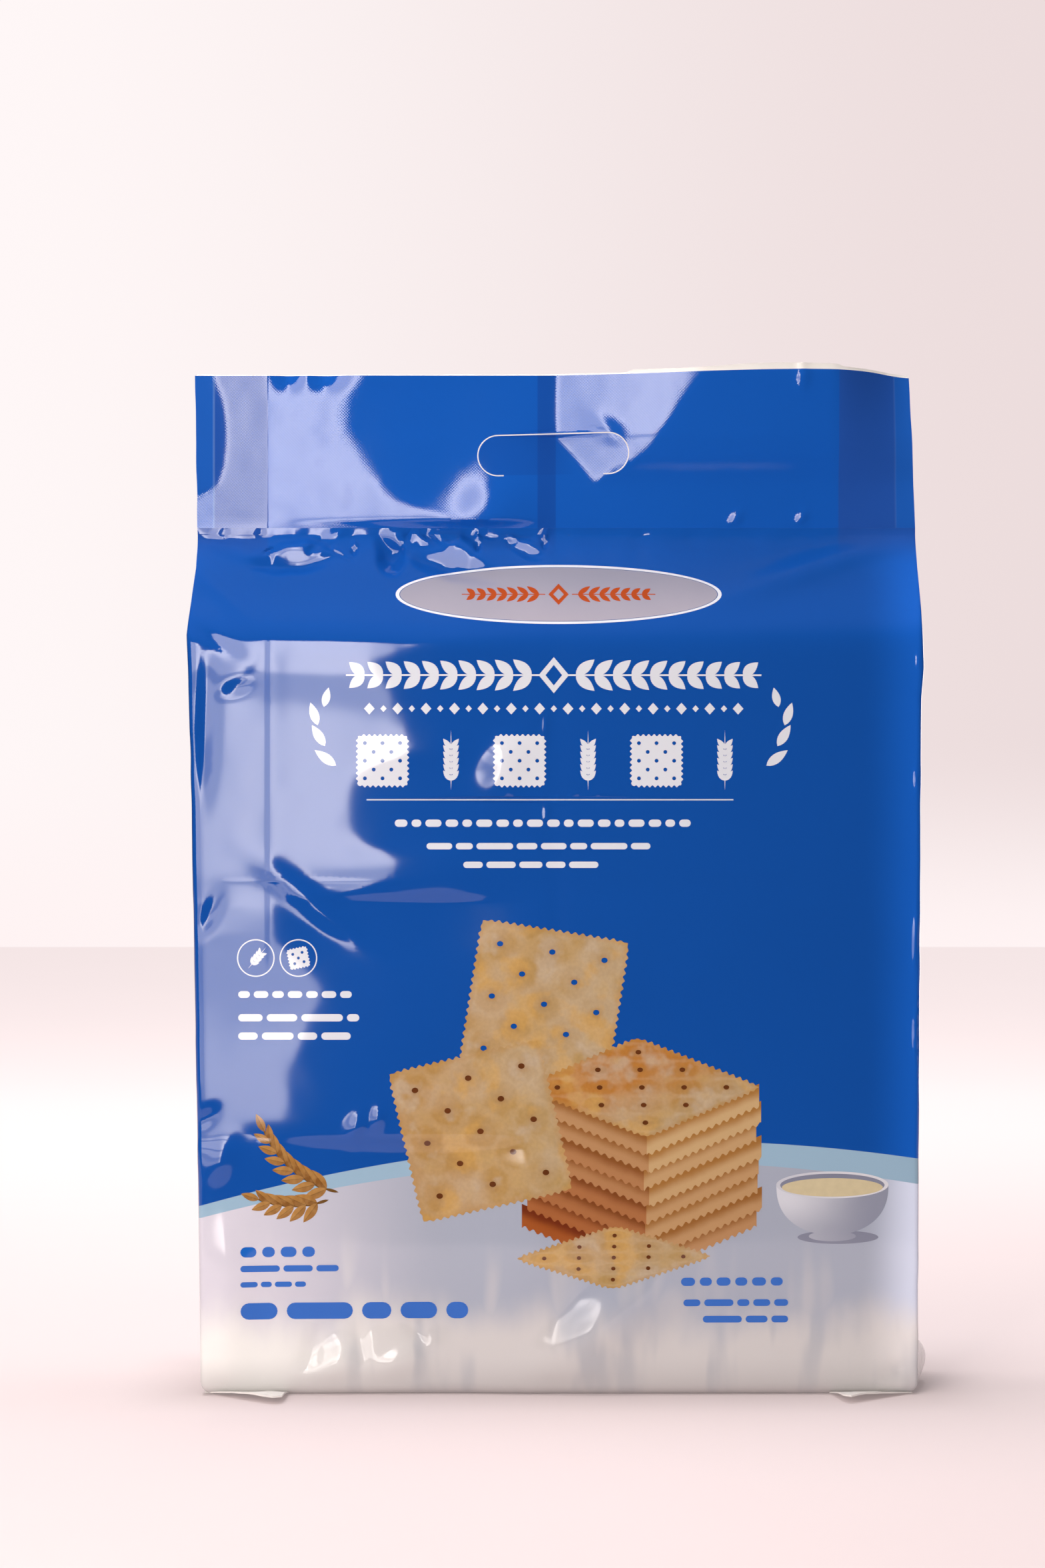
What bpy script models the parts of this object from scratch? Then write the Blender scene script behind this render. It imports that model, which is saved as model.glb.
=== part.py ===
"""A sealed side-gusset film bag, full of crackers, that stands on its flat base.

Units are metres, +Z is up and the front panel faces -Y. The origin is the centre of the flat base.
The bag can't be seen into, so film and contents are one closed solid. It is a loft of level sections:
front panel, right gusset, back panel and left gusset, from the base up to the header, which is the flat
heat-sealed strip with a die-cut carry slot whose flap is still in place.
"""

import math

import bmesh
import bpy

# Heights of the bag's main lines
SEAL_HEIGHT = 0.3570
HEADER_HEIGHT = 0.0637
SHOULDER_HEIGHT = 0.3110
TIER_HEIGHT = 0.1036
NOTCH_TOP = SEAL_HEIGHT - 0.0025

# Width of the panels, as (height, left edge, right edge): the bag narrows a little downwards
EDGE_LINE = [
    (0.0000, -0.1446, 0.1488),
    (0.1300, -0.1466, 0.1492),
    (0.2500, -0.1487, 0.1499),
    (0.3100, -0.1500, 0.1508),
    (0.3570, -0.1488, 0.1510),
    (0.4210, -0.1497, 0.1492),
]

# Depth from the middle plane
EDGE_HALF_DEPTH = 0.0280
FRONT_BULGE = 0.0065
BACK_BULGE = 0.0055
COLUMN_CREASE = 0.0012
TIER_CREASE = 0.0014
CREASE_REACH = 0.0060
SHOULDER_SOFTNESS = 0.0070
BASE_ROUNDING = 0.0050

# Side gussets, whose half panel keeps its width as it folds in
GUSSET_HALF_PANEL = 0.0305
BASE_OPENING_HEIGHT = 0.0350
CORNER_POKE = 0.0045
CORNER_POKE_HEIGHT = 0.2980
FOOT_POKE = 0.0065
FOOT_POKE_HEIGHT = 0.0110

# Header strip
HEADER_THICKNESS = 0.0008
HEADER_FORWARD_LEAN = 0.0090
HEADER_CORNER_BEND = 0.0160
HEADER_CROWN = 0.0020
BACK_SEAM_LEFT = -0.0065
BACK_SEAM_RIGHT = 0.0010
BACK_SEAM_RISE = 0.0004
BACK_SEAM_STEP = 0.0005

# Carry slot, a cut that leaves its flap hinged along the bottom
SLOT_HEIGHT = 0.3877
SLOT_LENGTH = 0.0630
SLOT_WIDTH = 0.0170
SLOT_TILT = math.radians(1.2)
SLOT_HINGE_HALF = 0.0208
SLOT_KERF = 0.0005

# Folded film ears that lie on the floor in front of the base
EAR_THICKNESS = 0.0010
EAR_CLEARANCE = 0.0004
EAR_CURL = 0.0022

# Mesh fineness
PANEL_COLUMNS = 28
TIERS = 3
GUSSET_STOPS = (-0.55, 0.0, 0.55)
FILM_COLOUR = (0.012, 0.085, 0.330, 1.0)


def smooth_step(start, end, value):
    """A soft ramp from 0 at start to 1 at end."""
    share = min(1.0, max(0.0, (value - start) / (end - start)))
    return share * share * (3.0 - 2.0 * share)


def bump(centre, reach, value):
    """A soft bump of height 1 at centre."""
    return math.exp(-(((value - centre) / reach) ** 2))


def soft_lower(first, second, softness):
    """The lower of two values, with a rounded change between them."""
    return 0.5 * (first + second - math.hypot(first - second, softness))


def edges_at(height):
    """The left and right edge of the panels at a height."""
    for low, high in zip(EDGE_LINE, EDGE_LINE[1:]):
        if height <= high[0]:
            share = (height - low[0]) / (high[0] - low[0])
            return low[1] + share * (high[1] - low[1]), low[2] + share * (high[2] - low[2])
    return EDGE_LINE[-1][1:]


def slope_depth(height):
    """Depth of the panels where they lean in from the shoulder to the seal."""
    full = EDGE_HALF_DEPTH + FRONT_BULGE
    return full * (SEAL_HEIGHT - height) / (SEAL_HEIGHT - SHOULDER_HEIGHT)


def edge_depth(height):
    """Distance of a panel's side edges from the middle plane, without the film's own thickness."""
    opened = EDGE_HALF_DEPTH + 0.0020 * (1.0 - smooth_step(0.0, BASE_OPENING_HEIGHT, height))
    return max(0.0, soft_lower(opened, slope_depth(height), SHOULDER_SOFTNESS))


def bulge_share(across, height):
    """Share of the full bulge: two columns of wrapped stacks in three tiers, and flatter at the base."""
    lobes = math.sqrt(max(0.0, 1.0 - across**2)) ** 0.8
    return lobes * (0.45 + 0.55 * smooth_step(0.0, 0.6 * TIER_HEIGHT, height))


def crease_depth(across, height):
    """Depth of the grooves between the tiers and between the two columns."""
    sides = 1.0 - 0.5 * abs(across)
    tiers = sum(bump(tier * TIER_HEIGHT, CREASE_REACH, height) for tier in range(1, TIERS))
    column = bump(0.0, 0.05, across) * smooth_step(0.0, 0.3 * TIER_HEIGHT, height)
    return TIER_CREASE * sides * tiers + COLUMN_CREASE * column


def panel_depth(across, height, bulge):
    """Distance of a panel from the middle plane, from -1 to 1 across it."""
    if height >= SEAL_HEIGHT:
        return HEADER_THICKNESS / 2
    full = EDGE_HALF_DEPTH + 0.0020 * (1.0 - smooth_step(0.0, BASE_OPENING_HEIGHT, height))
    full += bulge * bulge_share(across, height) - crease_depth(across, height) * (1.0 - across**2)
    return HEADER_THICKNESS / 2 + max(0.0, soft_lower(full, slope_depth(height), SHOULDER_SOFTNESS))


def header_bend(x, height):
    """How far the header leaves the middle plane: its right side leans forward and its corner back."""
    share = max(0.0, (height - SEAL_HEIGHT) / HEADER_HEIGHT)
    forward = HEADER_FORWARD_LEAN * bump(0.095, 0.055, x)
    back = HEADER_CORNER_BEND * smooth_step(0.115, 0.152, x)
    return share**1.4 * (back - forward)


def header_top(x):
    """Height of the header's top edge."""
    corner_drop = 0.0012 * smooth_step(0.130, 0.150, x)
    return SEAL_HEIGHT + HEADER_HEIGHT + HEADER_CROWN * bump(0.110, 0.060, x) - corner_drop


def seam_rise(x):
    """Relief of the fin seam that is folded flat along the back."""
    left = smooth_step(BACK_SEAM_LEFT - BACK_SEAM_STEP, BACK_SEAM_LEFT, x)
    right = 1.0 - smooth_step(BACK_SEAM_RIGHT, BACK_SEAM_RIGHT + BACK_SEAM_STEP, x)
    return BACK_SEAM_RISE * left * right


def gusset_inset(height, side):
    """How far a gusset's fold lies inside the panels' edges; below 0 it stands out past them."""
    depth = min(edge_depth(height), GUSSET_HALF_PANEL)
    inset = math.sqrt(GUSSET_HALF_PANEL**2 - depth**2)
    if side > 0:
        share = bump(FOOT_POKE_HEIGHT, 0.014, height)
        return inset * (1.0 - share) - FOOT_POKE * share
    return inset


def base_inset(height):
    """How far the rounded bottom edge draws a section in."""
    if height >= BASE_ROUNDING:
        return 0.0
    return BASE_ROUNDING - math.sqrt(BASE_ROUNDING**2 - (BASE_ROUNDING - height) ** 2)


def column_shares():
    """Places across a panel, from -1 to 1, with extra ones where the back seam steps."""
    shares = [2.0 * column / PANEL_COLUMNS - 1.0 for column in range(PANEL_COLUMNS + 1)]
    centre = PANEL_COLUMNS // 2
    half = 0.5 * (EDGE_LINE[0][2] - EDGE_LINE[0][1])
    steps = [BACK_SEAM_LEFT - BACK_SEAM_STEP, BACK_SEAM_LEFT, BACK_SEAM_RIGHT, BACK_SEAM_RIGHT + BACK_SEAM_STEP]
    return shares[:centre] + [step / half for step in steps] + shares[centre + 1 :]


def section_heights():
    """Heights of the sections below the notch's top, closer together where the shape turns."""
    rounding = [BASE_ROUNDING * (1.0 - math.cos(math.radians(angle))) for angle in (0, 30, 60, 90)]
    foot = [0.009, 0.014, 0.020, 0.028, 0.040, 0.055, 0.070, 0.084]
    around = [-0.009, -0.004, 0.0, 0.004, 0.009]
    between = [0.020, 0.035, 0.052, 0.069, 0.084]
    tiers = []
    for tier in range(1, TIERS):
        crease = tier * TIER_HEIGHT
        tiers += [crease + step for step in around]
        tiers += [crease + step for step in between]
    shoulder = [0.299, 0.305, 0.311, 0.317, 0.323, 0.330, 0.337, 0.344, 0.350, NOTCH_TOP]
    return rounding + foot + tiers + shoulder


def panel_point(across, height, front):
    """A point on the front or the back panel."""
    left, right = edges_at(height)
    inset = base_inset(height)
    x = 0.5 * (left + right) + across * (0.5 * (right - left) - inset)
    if front:
        return x, inset - panel_depth(across, height, FRONT_BULGE), height
    return x, panel_depth(across, height, BACK_BULGE) + seam_rise(x) - inset, height


def gusset_points(height, side):
    """The points of a side gusset, from the front edge's inner side to the back edge's."""
    left, right = edges_at(height)
    inset = base_inset(height)
    edge = right - inset if side > 0 else left + inset
    depth = edge_depth(height) + HEADER_THICKNESS / 2 - inset - HEADER_THICKNESS
    fold = gusset_inset(height, side)
    poke = CORNER_POKE * bump(CORNER_POKE_HEIGHT, 0.007, height) if side > 0 else 0.0
    points = [(edge, -depth, height)]
    for stop in GUSSET_STOPS:
        outward = poke if stop < 0 else 0.0
        reach = fold * (1.0 - abs(stop)) - outward
        points.append((edge - side * reach, stop * depth, height))
    points.append((edge, depth, height))
    return points


def body_loop(height, shares):
    """One closed section of the bag, counter-clockwise seen from above."""
    front = [panel_point(share, height, True) for share in shares]
    back = [panel_point(share, height, False) for share in reversed(shares)]
    right = gusset_points(height, 1)
    left = list(reversed(gusset_points(height, -1)))
    return front, right, back, left


def header_rows(shares):
    """Rows of the header, as (front points, back points), up to the top edge."""
    rows = []
    for step in (0.0, 0.12, 0.28, 0.44, 0.60, 0.76, 0.90, 1.0):
        front = []
        back = []
        for share in shares:
            x = panel_point(share, SEAL_HEIGHT + step * HEADER_HEIGHT, True)[0]
            height = SEAL_HEIGHT + step * (header_top(x) - SEAL_HEIGHT)
            middle = header_bend(x, height)
            front.append((x, middle - HEADER_THICKNESS / 2, height))
            back.append((x, middle + HEADER_THICKNESS / 2 + seam_rise(x), height))
        rows.append((front, back))
    return rows


def bag_mesh():
    """The whole bag but for its ears and slot, as one closed mesh."""
    shares = column_shares()
    mesh = bmesh.new()

    def add_loop(height):
        return [[mesh.verts.new(point) for point in part] for part in body_loop(height, shares)]

    def bridge(lower, upper, rim):
        for index in range(len(lower)):
            after = (index + 1) % len(lower)
            between = rim.get(index, [])
            mesh.faces.new([lower[index]] + between + [lower[after], upper[after], upper[index]])

    loops = [add_loop(height) for height in section_heights()]
    rings = [sum(parts, []) for parts in loops]
    for lower, upper in zip(rings, rings[1:]):
        bridge(lower, upper, {})
    mesh.faces.new(list(reversed(rings[0])))

    front, right, back, left = loops[-1]
    mesh.faces.new(right)
    mesh.faces.new(left)
    lower = front + back
    rim = {len(front) - 1: [right[0], right[-1]], len(lower) - 1: [left[0], left[-1]]}
    for front_row, back_row in header_rows(shares):
        upper = [mesh.verts.new(point) for point in front_row]
        upper += [mesh.verts.new(point) for point in reversed(back_row)]
        bridge(lower, upper, rim)
        lower = upper
        rim = {}
    last = len(lower) - 1
    for index in range(len(shares) - 1):
        mesh.faces.new((lower[index], lower[index + 1], lower[last - index - 1], lower[last - index]))
    return mesh


def slot_outline():
    """The slot's cut line, from one end of the flap's hinge round to the other, about the slot's centre."""
    radius = SLOT_WIDTH / 2
    centre = SLOT_LENGTH / 2 - radius
    line = [(-SLOT_HINGE_HALF, -radius)]
    for step in range(13):
        angle = math.radians(270.0 - 15.0 * step)
        line.append((-centre + radius * math.cos(angle), radius * math.sin(angle)))
    for step in range(13):
        angle = math.radians(90.0 - 15.0 * step)
        line.append((centre + radius * math.cos(angle), radius * math.sin(angle)))
    line.append((SLOT_HINGE_HALF, -radius))
    return line


def slot_cutter_mesh():
    """A thin wall along the slot's cut line, which runs past both faces of the header."""
    line = slot_outline()
    centre = SLOT_LENGTH / 2 - SLOT_WIDTH / 2
    mesh = bmesh.new()
    rings = []
    for x, z in line:
        core = max(-centre, min(centre, x))
        away = (x - core, z)
        size = math.hypot(*away)
        normal = (away[0] / size, away[1] / size)
        ring = []
        for side, y in ((-1, -0.01), (1, -0.01), (1, 0.01), (-1, 0.01)):
            shift = side * SLOT_KERF / 2
            ring.append(mesh.verts.new((x + shift * normal[0], y, z + shift * normal[1])))
        rings.append(ring)
    for first, second in zip(rings, rings[1:]):
        for index in range(4):
            after = (index + 1) % 4
            mesh.faces.new((first[index], second[index], second[after], first[after]))
    mesh.faces.new(rings[0])
    mesh.faces.new(list(reversed(rings[-1])))
    bmesh.ops.recalc_face_normals(mesh, faces=mesh.faces)
    return mesh


def ear_mesh(corner_x, inner_x, tip_x, tip_y, root_y):
    """A folded film ear: a thin triangle from under the base's front edge, with its tip curled up."""
    under = root_y + 0.012
    flat = [(corner_x, under), (corner_x, root_y), (tip_x, tip_y), (inner_x, root_y), (inner_x, under)]
    mesh = bmesh.new()
    rings = []
    for level in (EAR_CLEARANCE, EAR_CLEARANCE + EAR_THICKNESS):
        rings.append([mesh.verts.new((x, y, level + (EAR_CURL if y == tip_y else 0.0))) for x, y in flat])
    for index in range(len(flat)):
        after = (index + 1) % len(flat)
        mesh.faces.new((rings[0][index], rings[0][after], rings[1][after], rings[1][index]))
    mesh.faces.new(rings[0])
    mesh.faces.new(rings[1])
    bmesh.ops.triangulate(mesh, faces=mesh.faces)
    bmesh.ops.recalc_face_normals(mesh, faces=mesh.faces)
    return mesh


def film_material():
    """Glossy printed film."""
    material = bpy.data.materials.new("printed_film")
    material.use_nodes = True
    shader = material.node_tree.nodes["Principled BSDF"]
    shader.inputs["Base Color"].default_value = FILM_COLOUR
    shader.inputs["Roughness"].default_value = 0.12
    shader.inputs["Metallic"].default_value = 0.0
    return material


def add_object(name, built):
    """An object made from a bmesh."""
    data = bpy.data.meshes.new(name)
    built.to_mesh(data)
    built.free()
    item = bpy.data.objects.new(name, data)
    bpy.context.scene.collection.objects.link(item)
    return item


def add_boolean(target, cutter, operation):
    """Join or cut the target with a helper object, which is only shown as wires."""
    cutter.hide_render = True
    cutter.display_type = "WIRE"
    step = target.modifiers.new(cutter.name, "BOOLEAN")
    step.operation = operation
    step.solver = "EXACT"
    step.object = cutter


def build():
    """Clear the scene and make the bag."""
    for item in list(bpy.data.objects):
        bpy.data.objects.remove(item, do_unlink=True)

    bag = add_object("film_pack", bag_mesh())
    bag.data.materials.append(film_material())
    bag.data.shade_smooth()
    bag.data.set_sharp_from_angle(angle=math.radians(35.0))

    front_line = -(EDGE_HALF_DEPTH + 0.0020)
    left_ear = ear_mesh(-0.1400, -0.1110, -0.1135, front_line - 0.0260, front_line)
    right_ear = ear_mesh(0.1460, 0.1140, 0.1200, front_line - 0.0235, front_line)
    add_boolean(bag, add_object("left_ear_shape", left_ear), "UNION")
    add_boolean(bag, add_object("right_ear_shape", right_ear), "UNION")

    slot = add_object("slot_shape", slot_cutter_mesh())
    slot.location = (0.0, 0.0, SLOT_HEIGHT)
    slot.rotation_euler = (0.0, -SLOT_TILT, 0.0)
    add_boolean(bag, slot, "DIFFERENCE")


build()
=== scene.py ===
"""Looks of the sealed side-gusset film bag of crackers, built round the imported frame.

The bag is remade as a fine film shell from the same rules as its solid, with the folds, puckers and dents of
the real film, and its print is laid on as thin flat shapes. Units are metres; the front panel faces -Y.
"""

import math

import bpy
import numpy as np
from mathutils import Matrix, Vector
from mathutils.geometry import delaunay_2d_cdt


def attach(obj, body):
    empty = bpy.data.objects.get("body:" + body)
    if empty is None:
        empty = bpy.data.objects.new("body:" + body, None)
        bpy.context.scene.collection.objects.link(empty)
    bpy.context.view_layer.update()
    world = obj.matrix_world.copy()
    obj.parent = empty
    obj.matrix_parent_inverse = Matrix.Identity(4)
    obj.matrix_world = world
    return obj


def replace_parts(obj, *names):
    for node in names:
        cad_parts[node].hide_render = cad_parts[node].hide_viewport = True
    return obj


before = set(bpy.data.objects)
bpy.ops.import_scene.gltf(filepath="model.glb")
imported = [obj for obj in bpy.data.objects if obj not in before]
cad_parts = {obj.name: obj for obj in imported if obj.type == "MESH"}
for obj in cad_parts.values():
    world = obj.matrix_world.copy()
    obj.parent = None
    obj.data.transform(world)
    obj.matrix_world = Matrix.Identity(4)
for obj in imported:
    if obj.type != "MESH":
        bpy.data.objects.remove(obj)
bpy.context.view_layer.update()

# Heights of the bag's main lines, as in its solid
SEAL_HEIGHT = 0.357
HEADER_HEIGHT = 0.0637
SHOULDER_HEIGHT = 0.311
TIER_HEIGHT = 0.1036
NOTCH_TOP = SEAL_HEIGHT - 0.0025

# The panels' side edges, which wave a little: height, x of the left edge, x of the right edge
EDGE_LINE = [
    (0.0, -0.1446, 0.1494), (0.13, -0.1466, 0.15), (0.25, -0.1487, 0.1507),
    (0.285, -0.1497, 0.1511), (0.298, -0.1502, 0.1521), (0.311, -0.1509, 0.1518),
    (0.325, -0.1494, 0.1514), (0.34, -0.1484, 0.1513), (0.357, -0.1488, 0.1515),
    (0.421, -0.1497, 0.1498),
]
EDGE_WAVE = 0.00015
EDGE_WAVE_SIZE = 0.011

# Depth from the middle plane
EDGE_HALF_DEPTH = 0.028
BACK_BULGE = 0.0055
COLUMN_CREASE = 0.0012
TIER_CREASE = 0.0014
CREASE_REACH = 0.006
SHOULDER_SOFTNESS = 0.007
RIM_POWER = 240
BACK_RIM_POWER = 60
BASE_ROUNDING = 0.005
TIERS = 3

# Side gussets
GUSSET_HALF_PANEL = 0.0305
BASE_OPENING_HEIGHT = 0.035
CORNER_POKE = 0.0045
CORNER_POKE_HEIGHT = 0.298
FOOT_POKE = 0.0065
FOOT_POKE_HEIGHT = 0.011
GUSSET_TENSION = 0.0011
GUSSET_COLUMNS = 24

# Header strip and its carry slot; the slot's tilt is in degrees
FILM_THICKNESS = 0.0008
HEADER_CORNER_BEND = 0.016
HEADER_CROWN = 0.002
BACK_SEAM_LEFT = -0.0065
BACK_SEAM_RIGHT = 0.001
BACK_SEAM_RISE = 0.0004
BACK_SEAM_STEP = 0.0005
SLOT_HEIGHT = 0.3877
SLOT_LENGTH = 0.063
SLOT_WIDTH = 0.017
SLOT_TILT = 1.2
SLOT_HINGE_HALF = 0.0208
SLOT_KERF = 0.0005

# The front film's own fullness, and where its left side turns towards the softbox: height, x
FRONT_FULLNESS = 0.0062
FRONT_TIER_CREASE = 0.00025
FRONT_COLUMN_CREASE = 0.0003
FRONT_DEPTH = 0.034
RIGHT_FALL = 0.0025
TURN_PIVOT = -0.115
TURN_WIDTH = 0.006
TURN_LEFT_SLOPE = 0.014
TURN_RIGHT_SLOPE = 0.012
LEFT_TURN = [
    (0.09, -0.15), (0.101, -0.14), (0.106, -0.108), (0.129, -0.108), (0.1508, -0.0984),
    (0.1644, -0.0948), (0.1753, -0.1011), (0.189, -0.115), (0.201, -0.113), (0.205, -0.09),
    (0.211, -0.0684), (0.2189, -0.0629), (0.2271, -0.08), (0.238, -0.0847), (0.2544, -0.0807),
    (0.2653, -0.0575), (0.2816, -0.0629), (0.298, -0.0711), (0.3102, -0.0466),
]

# The header's own folds: where its film turns towards the softbox, and where its left rim curls: height, x
HEADER_LEFT_SLOPE = 0.024
HEADER_RIGHT_SLOPE = 0.03
HEADER_TURN_WIDTH = 0.0036
HEADER_FOLD_TURN = 0.024
HEADER_CURL = 0.09
CURL_SOFTNESS = 0.0012
GUSSET_FOLD_LEFT = -0.1193
GUSSET_FOLD_RIGHT = 0.1193
HEADER_TURN = [
    (0.357, -0.04), (0.3615, -0.047), (0.3657, -0.059), (0.3697, -0.0672), (0.3747, -0.0722),
    (0.3819, -0.0775), (0.3919, -0.0825), (0.402, -0.0864), (0.4123, -0.0856), (0.4213, -0.0794),
]
HEADER_RIM = [
    (0.357, -0.16), (0.368, -0.152), (0.374, -0.1415), (0.38, -0.1385),
    (0.395, -0.1366), (0.412, -0.1385), (0.4213, -0.1416),
]

# Where the film right of the seam starts and ends to turn to the left: height, from x, to x
SEAM_RAMP_SLOPE = 0.14
SEAM_RAMP_SOFTNESS = 0.002
SEAM_RAMP = [
    (0.357, 0.017, 0.018), (0.3743, 0.016, 0.0185), (0.3883, 0.0066, 0.0391),
    (0.3966, 0.0008, 0.0454), (0.4213, 0.0008, 0.063),
]

# Mounds and dents of the header: x, height, turn in degrees, half length, half width, rise
HEADER_MOUNDS = [
    (-0.023, 0.366, 44.0, 0.016, 0.015, 0.0027), (-0.1101, 0.4245, 0.0, 0.0042, 0.006, -0.0026),
    (-0.0948, 0.4245, 0.0, 0.0052, 0.0065, -0.0028), (0.0218, 0.3988, -35.0, 0.0075, 0.0036, 0.0005),
    (0.104, 0.419, 90.0, 0.005, 0.0022, 0.0011), (0.0765, 0.3607, 58.0, 0.004, 0.0022, 0.001),
    (0.104, 0.3612, 70.0, 0.003, 0.0018, 0.001),
]

# Puckers of film under the seal, where it hangs straight: x, height, turn, half length, half width, tilt
PUCKERS = [
    (-0.1335, 0.3543, -2.0, 0.0158, 0.0034, 0.01), (-0.1085, 0.3446, 5.0, 0.018, 0.0058, 0.085),
    (-0.094, 0.353, 40.0, 0.0085, 0.0036, 0.3), (-0.083, 0.3485, 0.0, 0.0016, 0.0028, 0.09),
    (-0.0465, 0.3468, -25.0, 0.024, 0.0086, -0.165), (-0.0672, 0.3575, 0.0, 0.0072, 0.018, 0.065),
    (-0.053, 0.3565, 0.0, 0.01, 0.0092, 0.09), (-0.042, 0.3535, 0.0, 0.004, 0.0026, 0.09),
    (-0.0315, 0.3515, 0.0, 0.0016, 0.0034, 0.11), (-0.0125, 0.349, -24.0, 0.009, 0.0034, -0.11),
    (-0.0175, 0.352, 0.0, 0.0026, 0.0022, 0.12), (-0.0036, 0.3518, 0.0, 0.0015, 0.004, 0.13),
    (-0.0275, 0.3548, -10.0, 0.005, 0.0018, 0.06), (0.004, 0.3556, -10.0, 0.004, 0.0012, 0.06),
]

# Folds that cut into the puckers: x, height, turn, half length, half width
PUCKER_CUTS = [
    (-0.1379, 0.3553, 84.0, 0.003, 0.0009), (-0.1224, 0.3555, 80.0, 0.003, 0.001),
    (-0.0612, 0.353, 88.0, 0.008, 0.0012), (-0.0525, 0.3535, -42.0, 0.006, 0.0015),
    (-0.0885, 0.3452, -30.0, 0.005, 0.0008), (-0.1185, 0.3474, 35.0, 0.003, 0.0009),
]

# The film that hangs in a pucker, the ripples between the puckers, and the seal's own rounding and groove
PUCKER_SLOPE = 0.08
PUCKER_DEPTH = 0.03
PUCKER_WOBBLE = 0.0011
PUCKER_CUT_DEPTH = 0.0005
SEAL_RIPPLE = 0.0007
SEAL_RIPPLE_REACH = 0.01
BACK_SEAL_RIPPLE = 0.0009
BACK_SEAL_RIPPLE_REACH = 0.012
SEAL_SOFTNESS = 0.007
SEAL_GROOVE = 0.0001

# Where relief fades out towards the seal and the base
SEAL_CLEARANCE = 0.004
SEAL_FADE = 0.012
BASE_CLEARANCE = 0.002
BASE_FADE = 0.01

# Dents and folds of the front and the back film: x, height, turn in degrees, half length, half width, rise
FILM_DENTS = [
    (-0.0185, 0.259, 66.0, 0.013, 0.009, 0.0019), (-0.0034, 0.2735, 86.0, 0.0085, 0.0014, 0.00034),
    (-0.003, 0.238, 90.0, 0.005, 0.0014, 0.00032), (-0.13, 0.2895, 14.0, 0.005, 0.0024, -0.0009),
    (-0.1385, 0.3085, -32.0, 0.01, 0.0026, -0.0008), (-0.129, 0.296, 60.0, 0.015, 0.006, 0.0002),
    (-0.1425, 0.272, 88.0, 0.021, 0.0035, -0.0012), (-0.096, 0.199, -38.0, 0.022, 0.0042, 0.0012),
    (-0.141, 0.196, 62.0, 0.007, 0.003, -0.0006), (-0.1425, 0.113, 40.0, 0.005, 0.003, -0.0006),
    (-0.081, 0.1095, 70.0, 0.005, 0.003, 0.0011), (-0.072, 0.113, 80.0, 0.0042, 0.0024, 0.0009),
    (-0.136, 0.096, 70.0, 0.008, 0.005, 0.001), (-0.1335, 0.033, 90.0, 0.03, 0.009, 0.0024),
    (0.019, 0.0262, 36.0, 0.026, 0.0125, 0.0038), (-0.088, 0.013, 26.0, 0.016, 0.007, 0.0021),
    (-0.063, 0.014, 24.0, 0.014, 0.0065, 0.0019), (-0.0985, 0.0185, 82.0, 0.0085, 0.0042, -0.0015),
    (-0.0795, 0.019, 98.0, 0.0085, 0.0036, -0.0013), (-0.056, 0.024, 116.0, 0.01, 0.0034, -0.0011),
    (0.1395, 0.009, 40.0, 0.006, 0.004, -0.001), (0.1493, 0.3005, 90.0, 0.0042, 0.0008, 0.0005),
    (0.1483, 0.252, 90.0, 0.0042, 0.0008, 0.0005), (0.1479, 0.187, 88.0, 0.011, 0.0008, 0.0005),
    (0.1478, 0.148, 90.0, 0.008, 0.0008, 0.0005), (0.115, 0.343, 20.0, 0.045, 0.006, 0.0026),
    (-0.128, 0.3455, -32.0, 0.022, 0.004, 0.0011), (-0.138, 0.3305, -40.0, 0.016, 0.004, 0.0011),
    (-0.096, 0.2102, 0.0, 0.028, 0.0008, 0.00006),
]
BACK_DENTS = [
    (-0.098, 0.334, 30.0, 0.042, 0.0048, 0.0013), (0.101, 0.333, -32.0, 0.04, 0.005, 0.0014),
    (-0.056, 0.342, 62.0, 0.015, 0.003, 0.0007), (0.048, 0.344, -66.0, 0.014, 0.0028, 0.0007),
    (0.078, 0.342, -78.0, 0.012, 0.003, 0.0006), (0.12, 0.29, -48.0, 0.028, 0.006, 0.0009),
    (-0.122, 0.286, 44.0, 0.026, 0.0055, 0.0009), (0.07, 0.248, -76.0, 0.034, 0.007, 0.0007),
    (-0.064, 0.252, 80.0, 0.036, 0.008, -0.0006), (-0.09, 0.156, 68.0, 0.03, 0.006, 0.0007),
    (0.098, 0.152, 84.0, 0.032, 0.007, -0.0007), (-0.03, 0.209, 5.0, 0.042, 0.003, 0.0006),
    (0.056, 0.206, -6.0, 0.048, 0.0032, 0.0006), (0.042, 0.105, 4.0, 0.046, 0.003, 0.0006),
    (-0.07, 0.102, -5.0, 0.04, 0.003, 0.0006), (-0.108, 0.048, 76.0, 0.026, 0.006, 0.0008),
    (0.114, 0.044, 98.0, 0.026, 0.006, 0.0008), (0.046, 0.022, 82.0, 0.012, 0.0034, 0.0006),
    (-0.042, 0.02, 96.0, 0.011, 0.0032, 0.0006),
]

# Waves of the film: size, rise and seed of the noise
BACK_NOISE = [(0.052, 0.0004, 57), (0.021, 0.00013, 58), (0.0085, 0.00003, 59)]
HEADER_NOISE = [(0.011, 0.000045, 55), (0.0048, 0.000012, 56)]
GUSSET_NOISE = [(0.03, 0.0009, 61), (0.012, 0.00026, 63)]
FILM_NOISE = [(0.042, 0.00013, 51), (0.017, 0.000045, 52), (0.0075, 0.000012, 53)]

# The line that the gusset's fold leaves on the front film
FOLD_TURN = 0.012
FOLD_SOFTNESS = 0.0008
FOLD_PRINT_X = -0.1171
FOLD_PRINT_DEPTH = 0.00012
FOLD_PRINT_WIDTH = 0.0006

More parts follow.
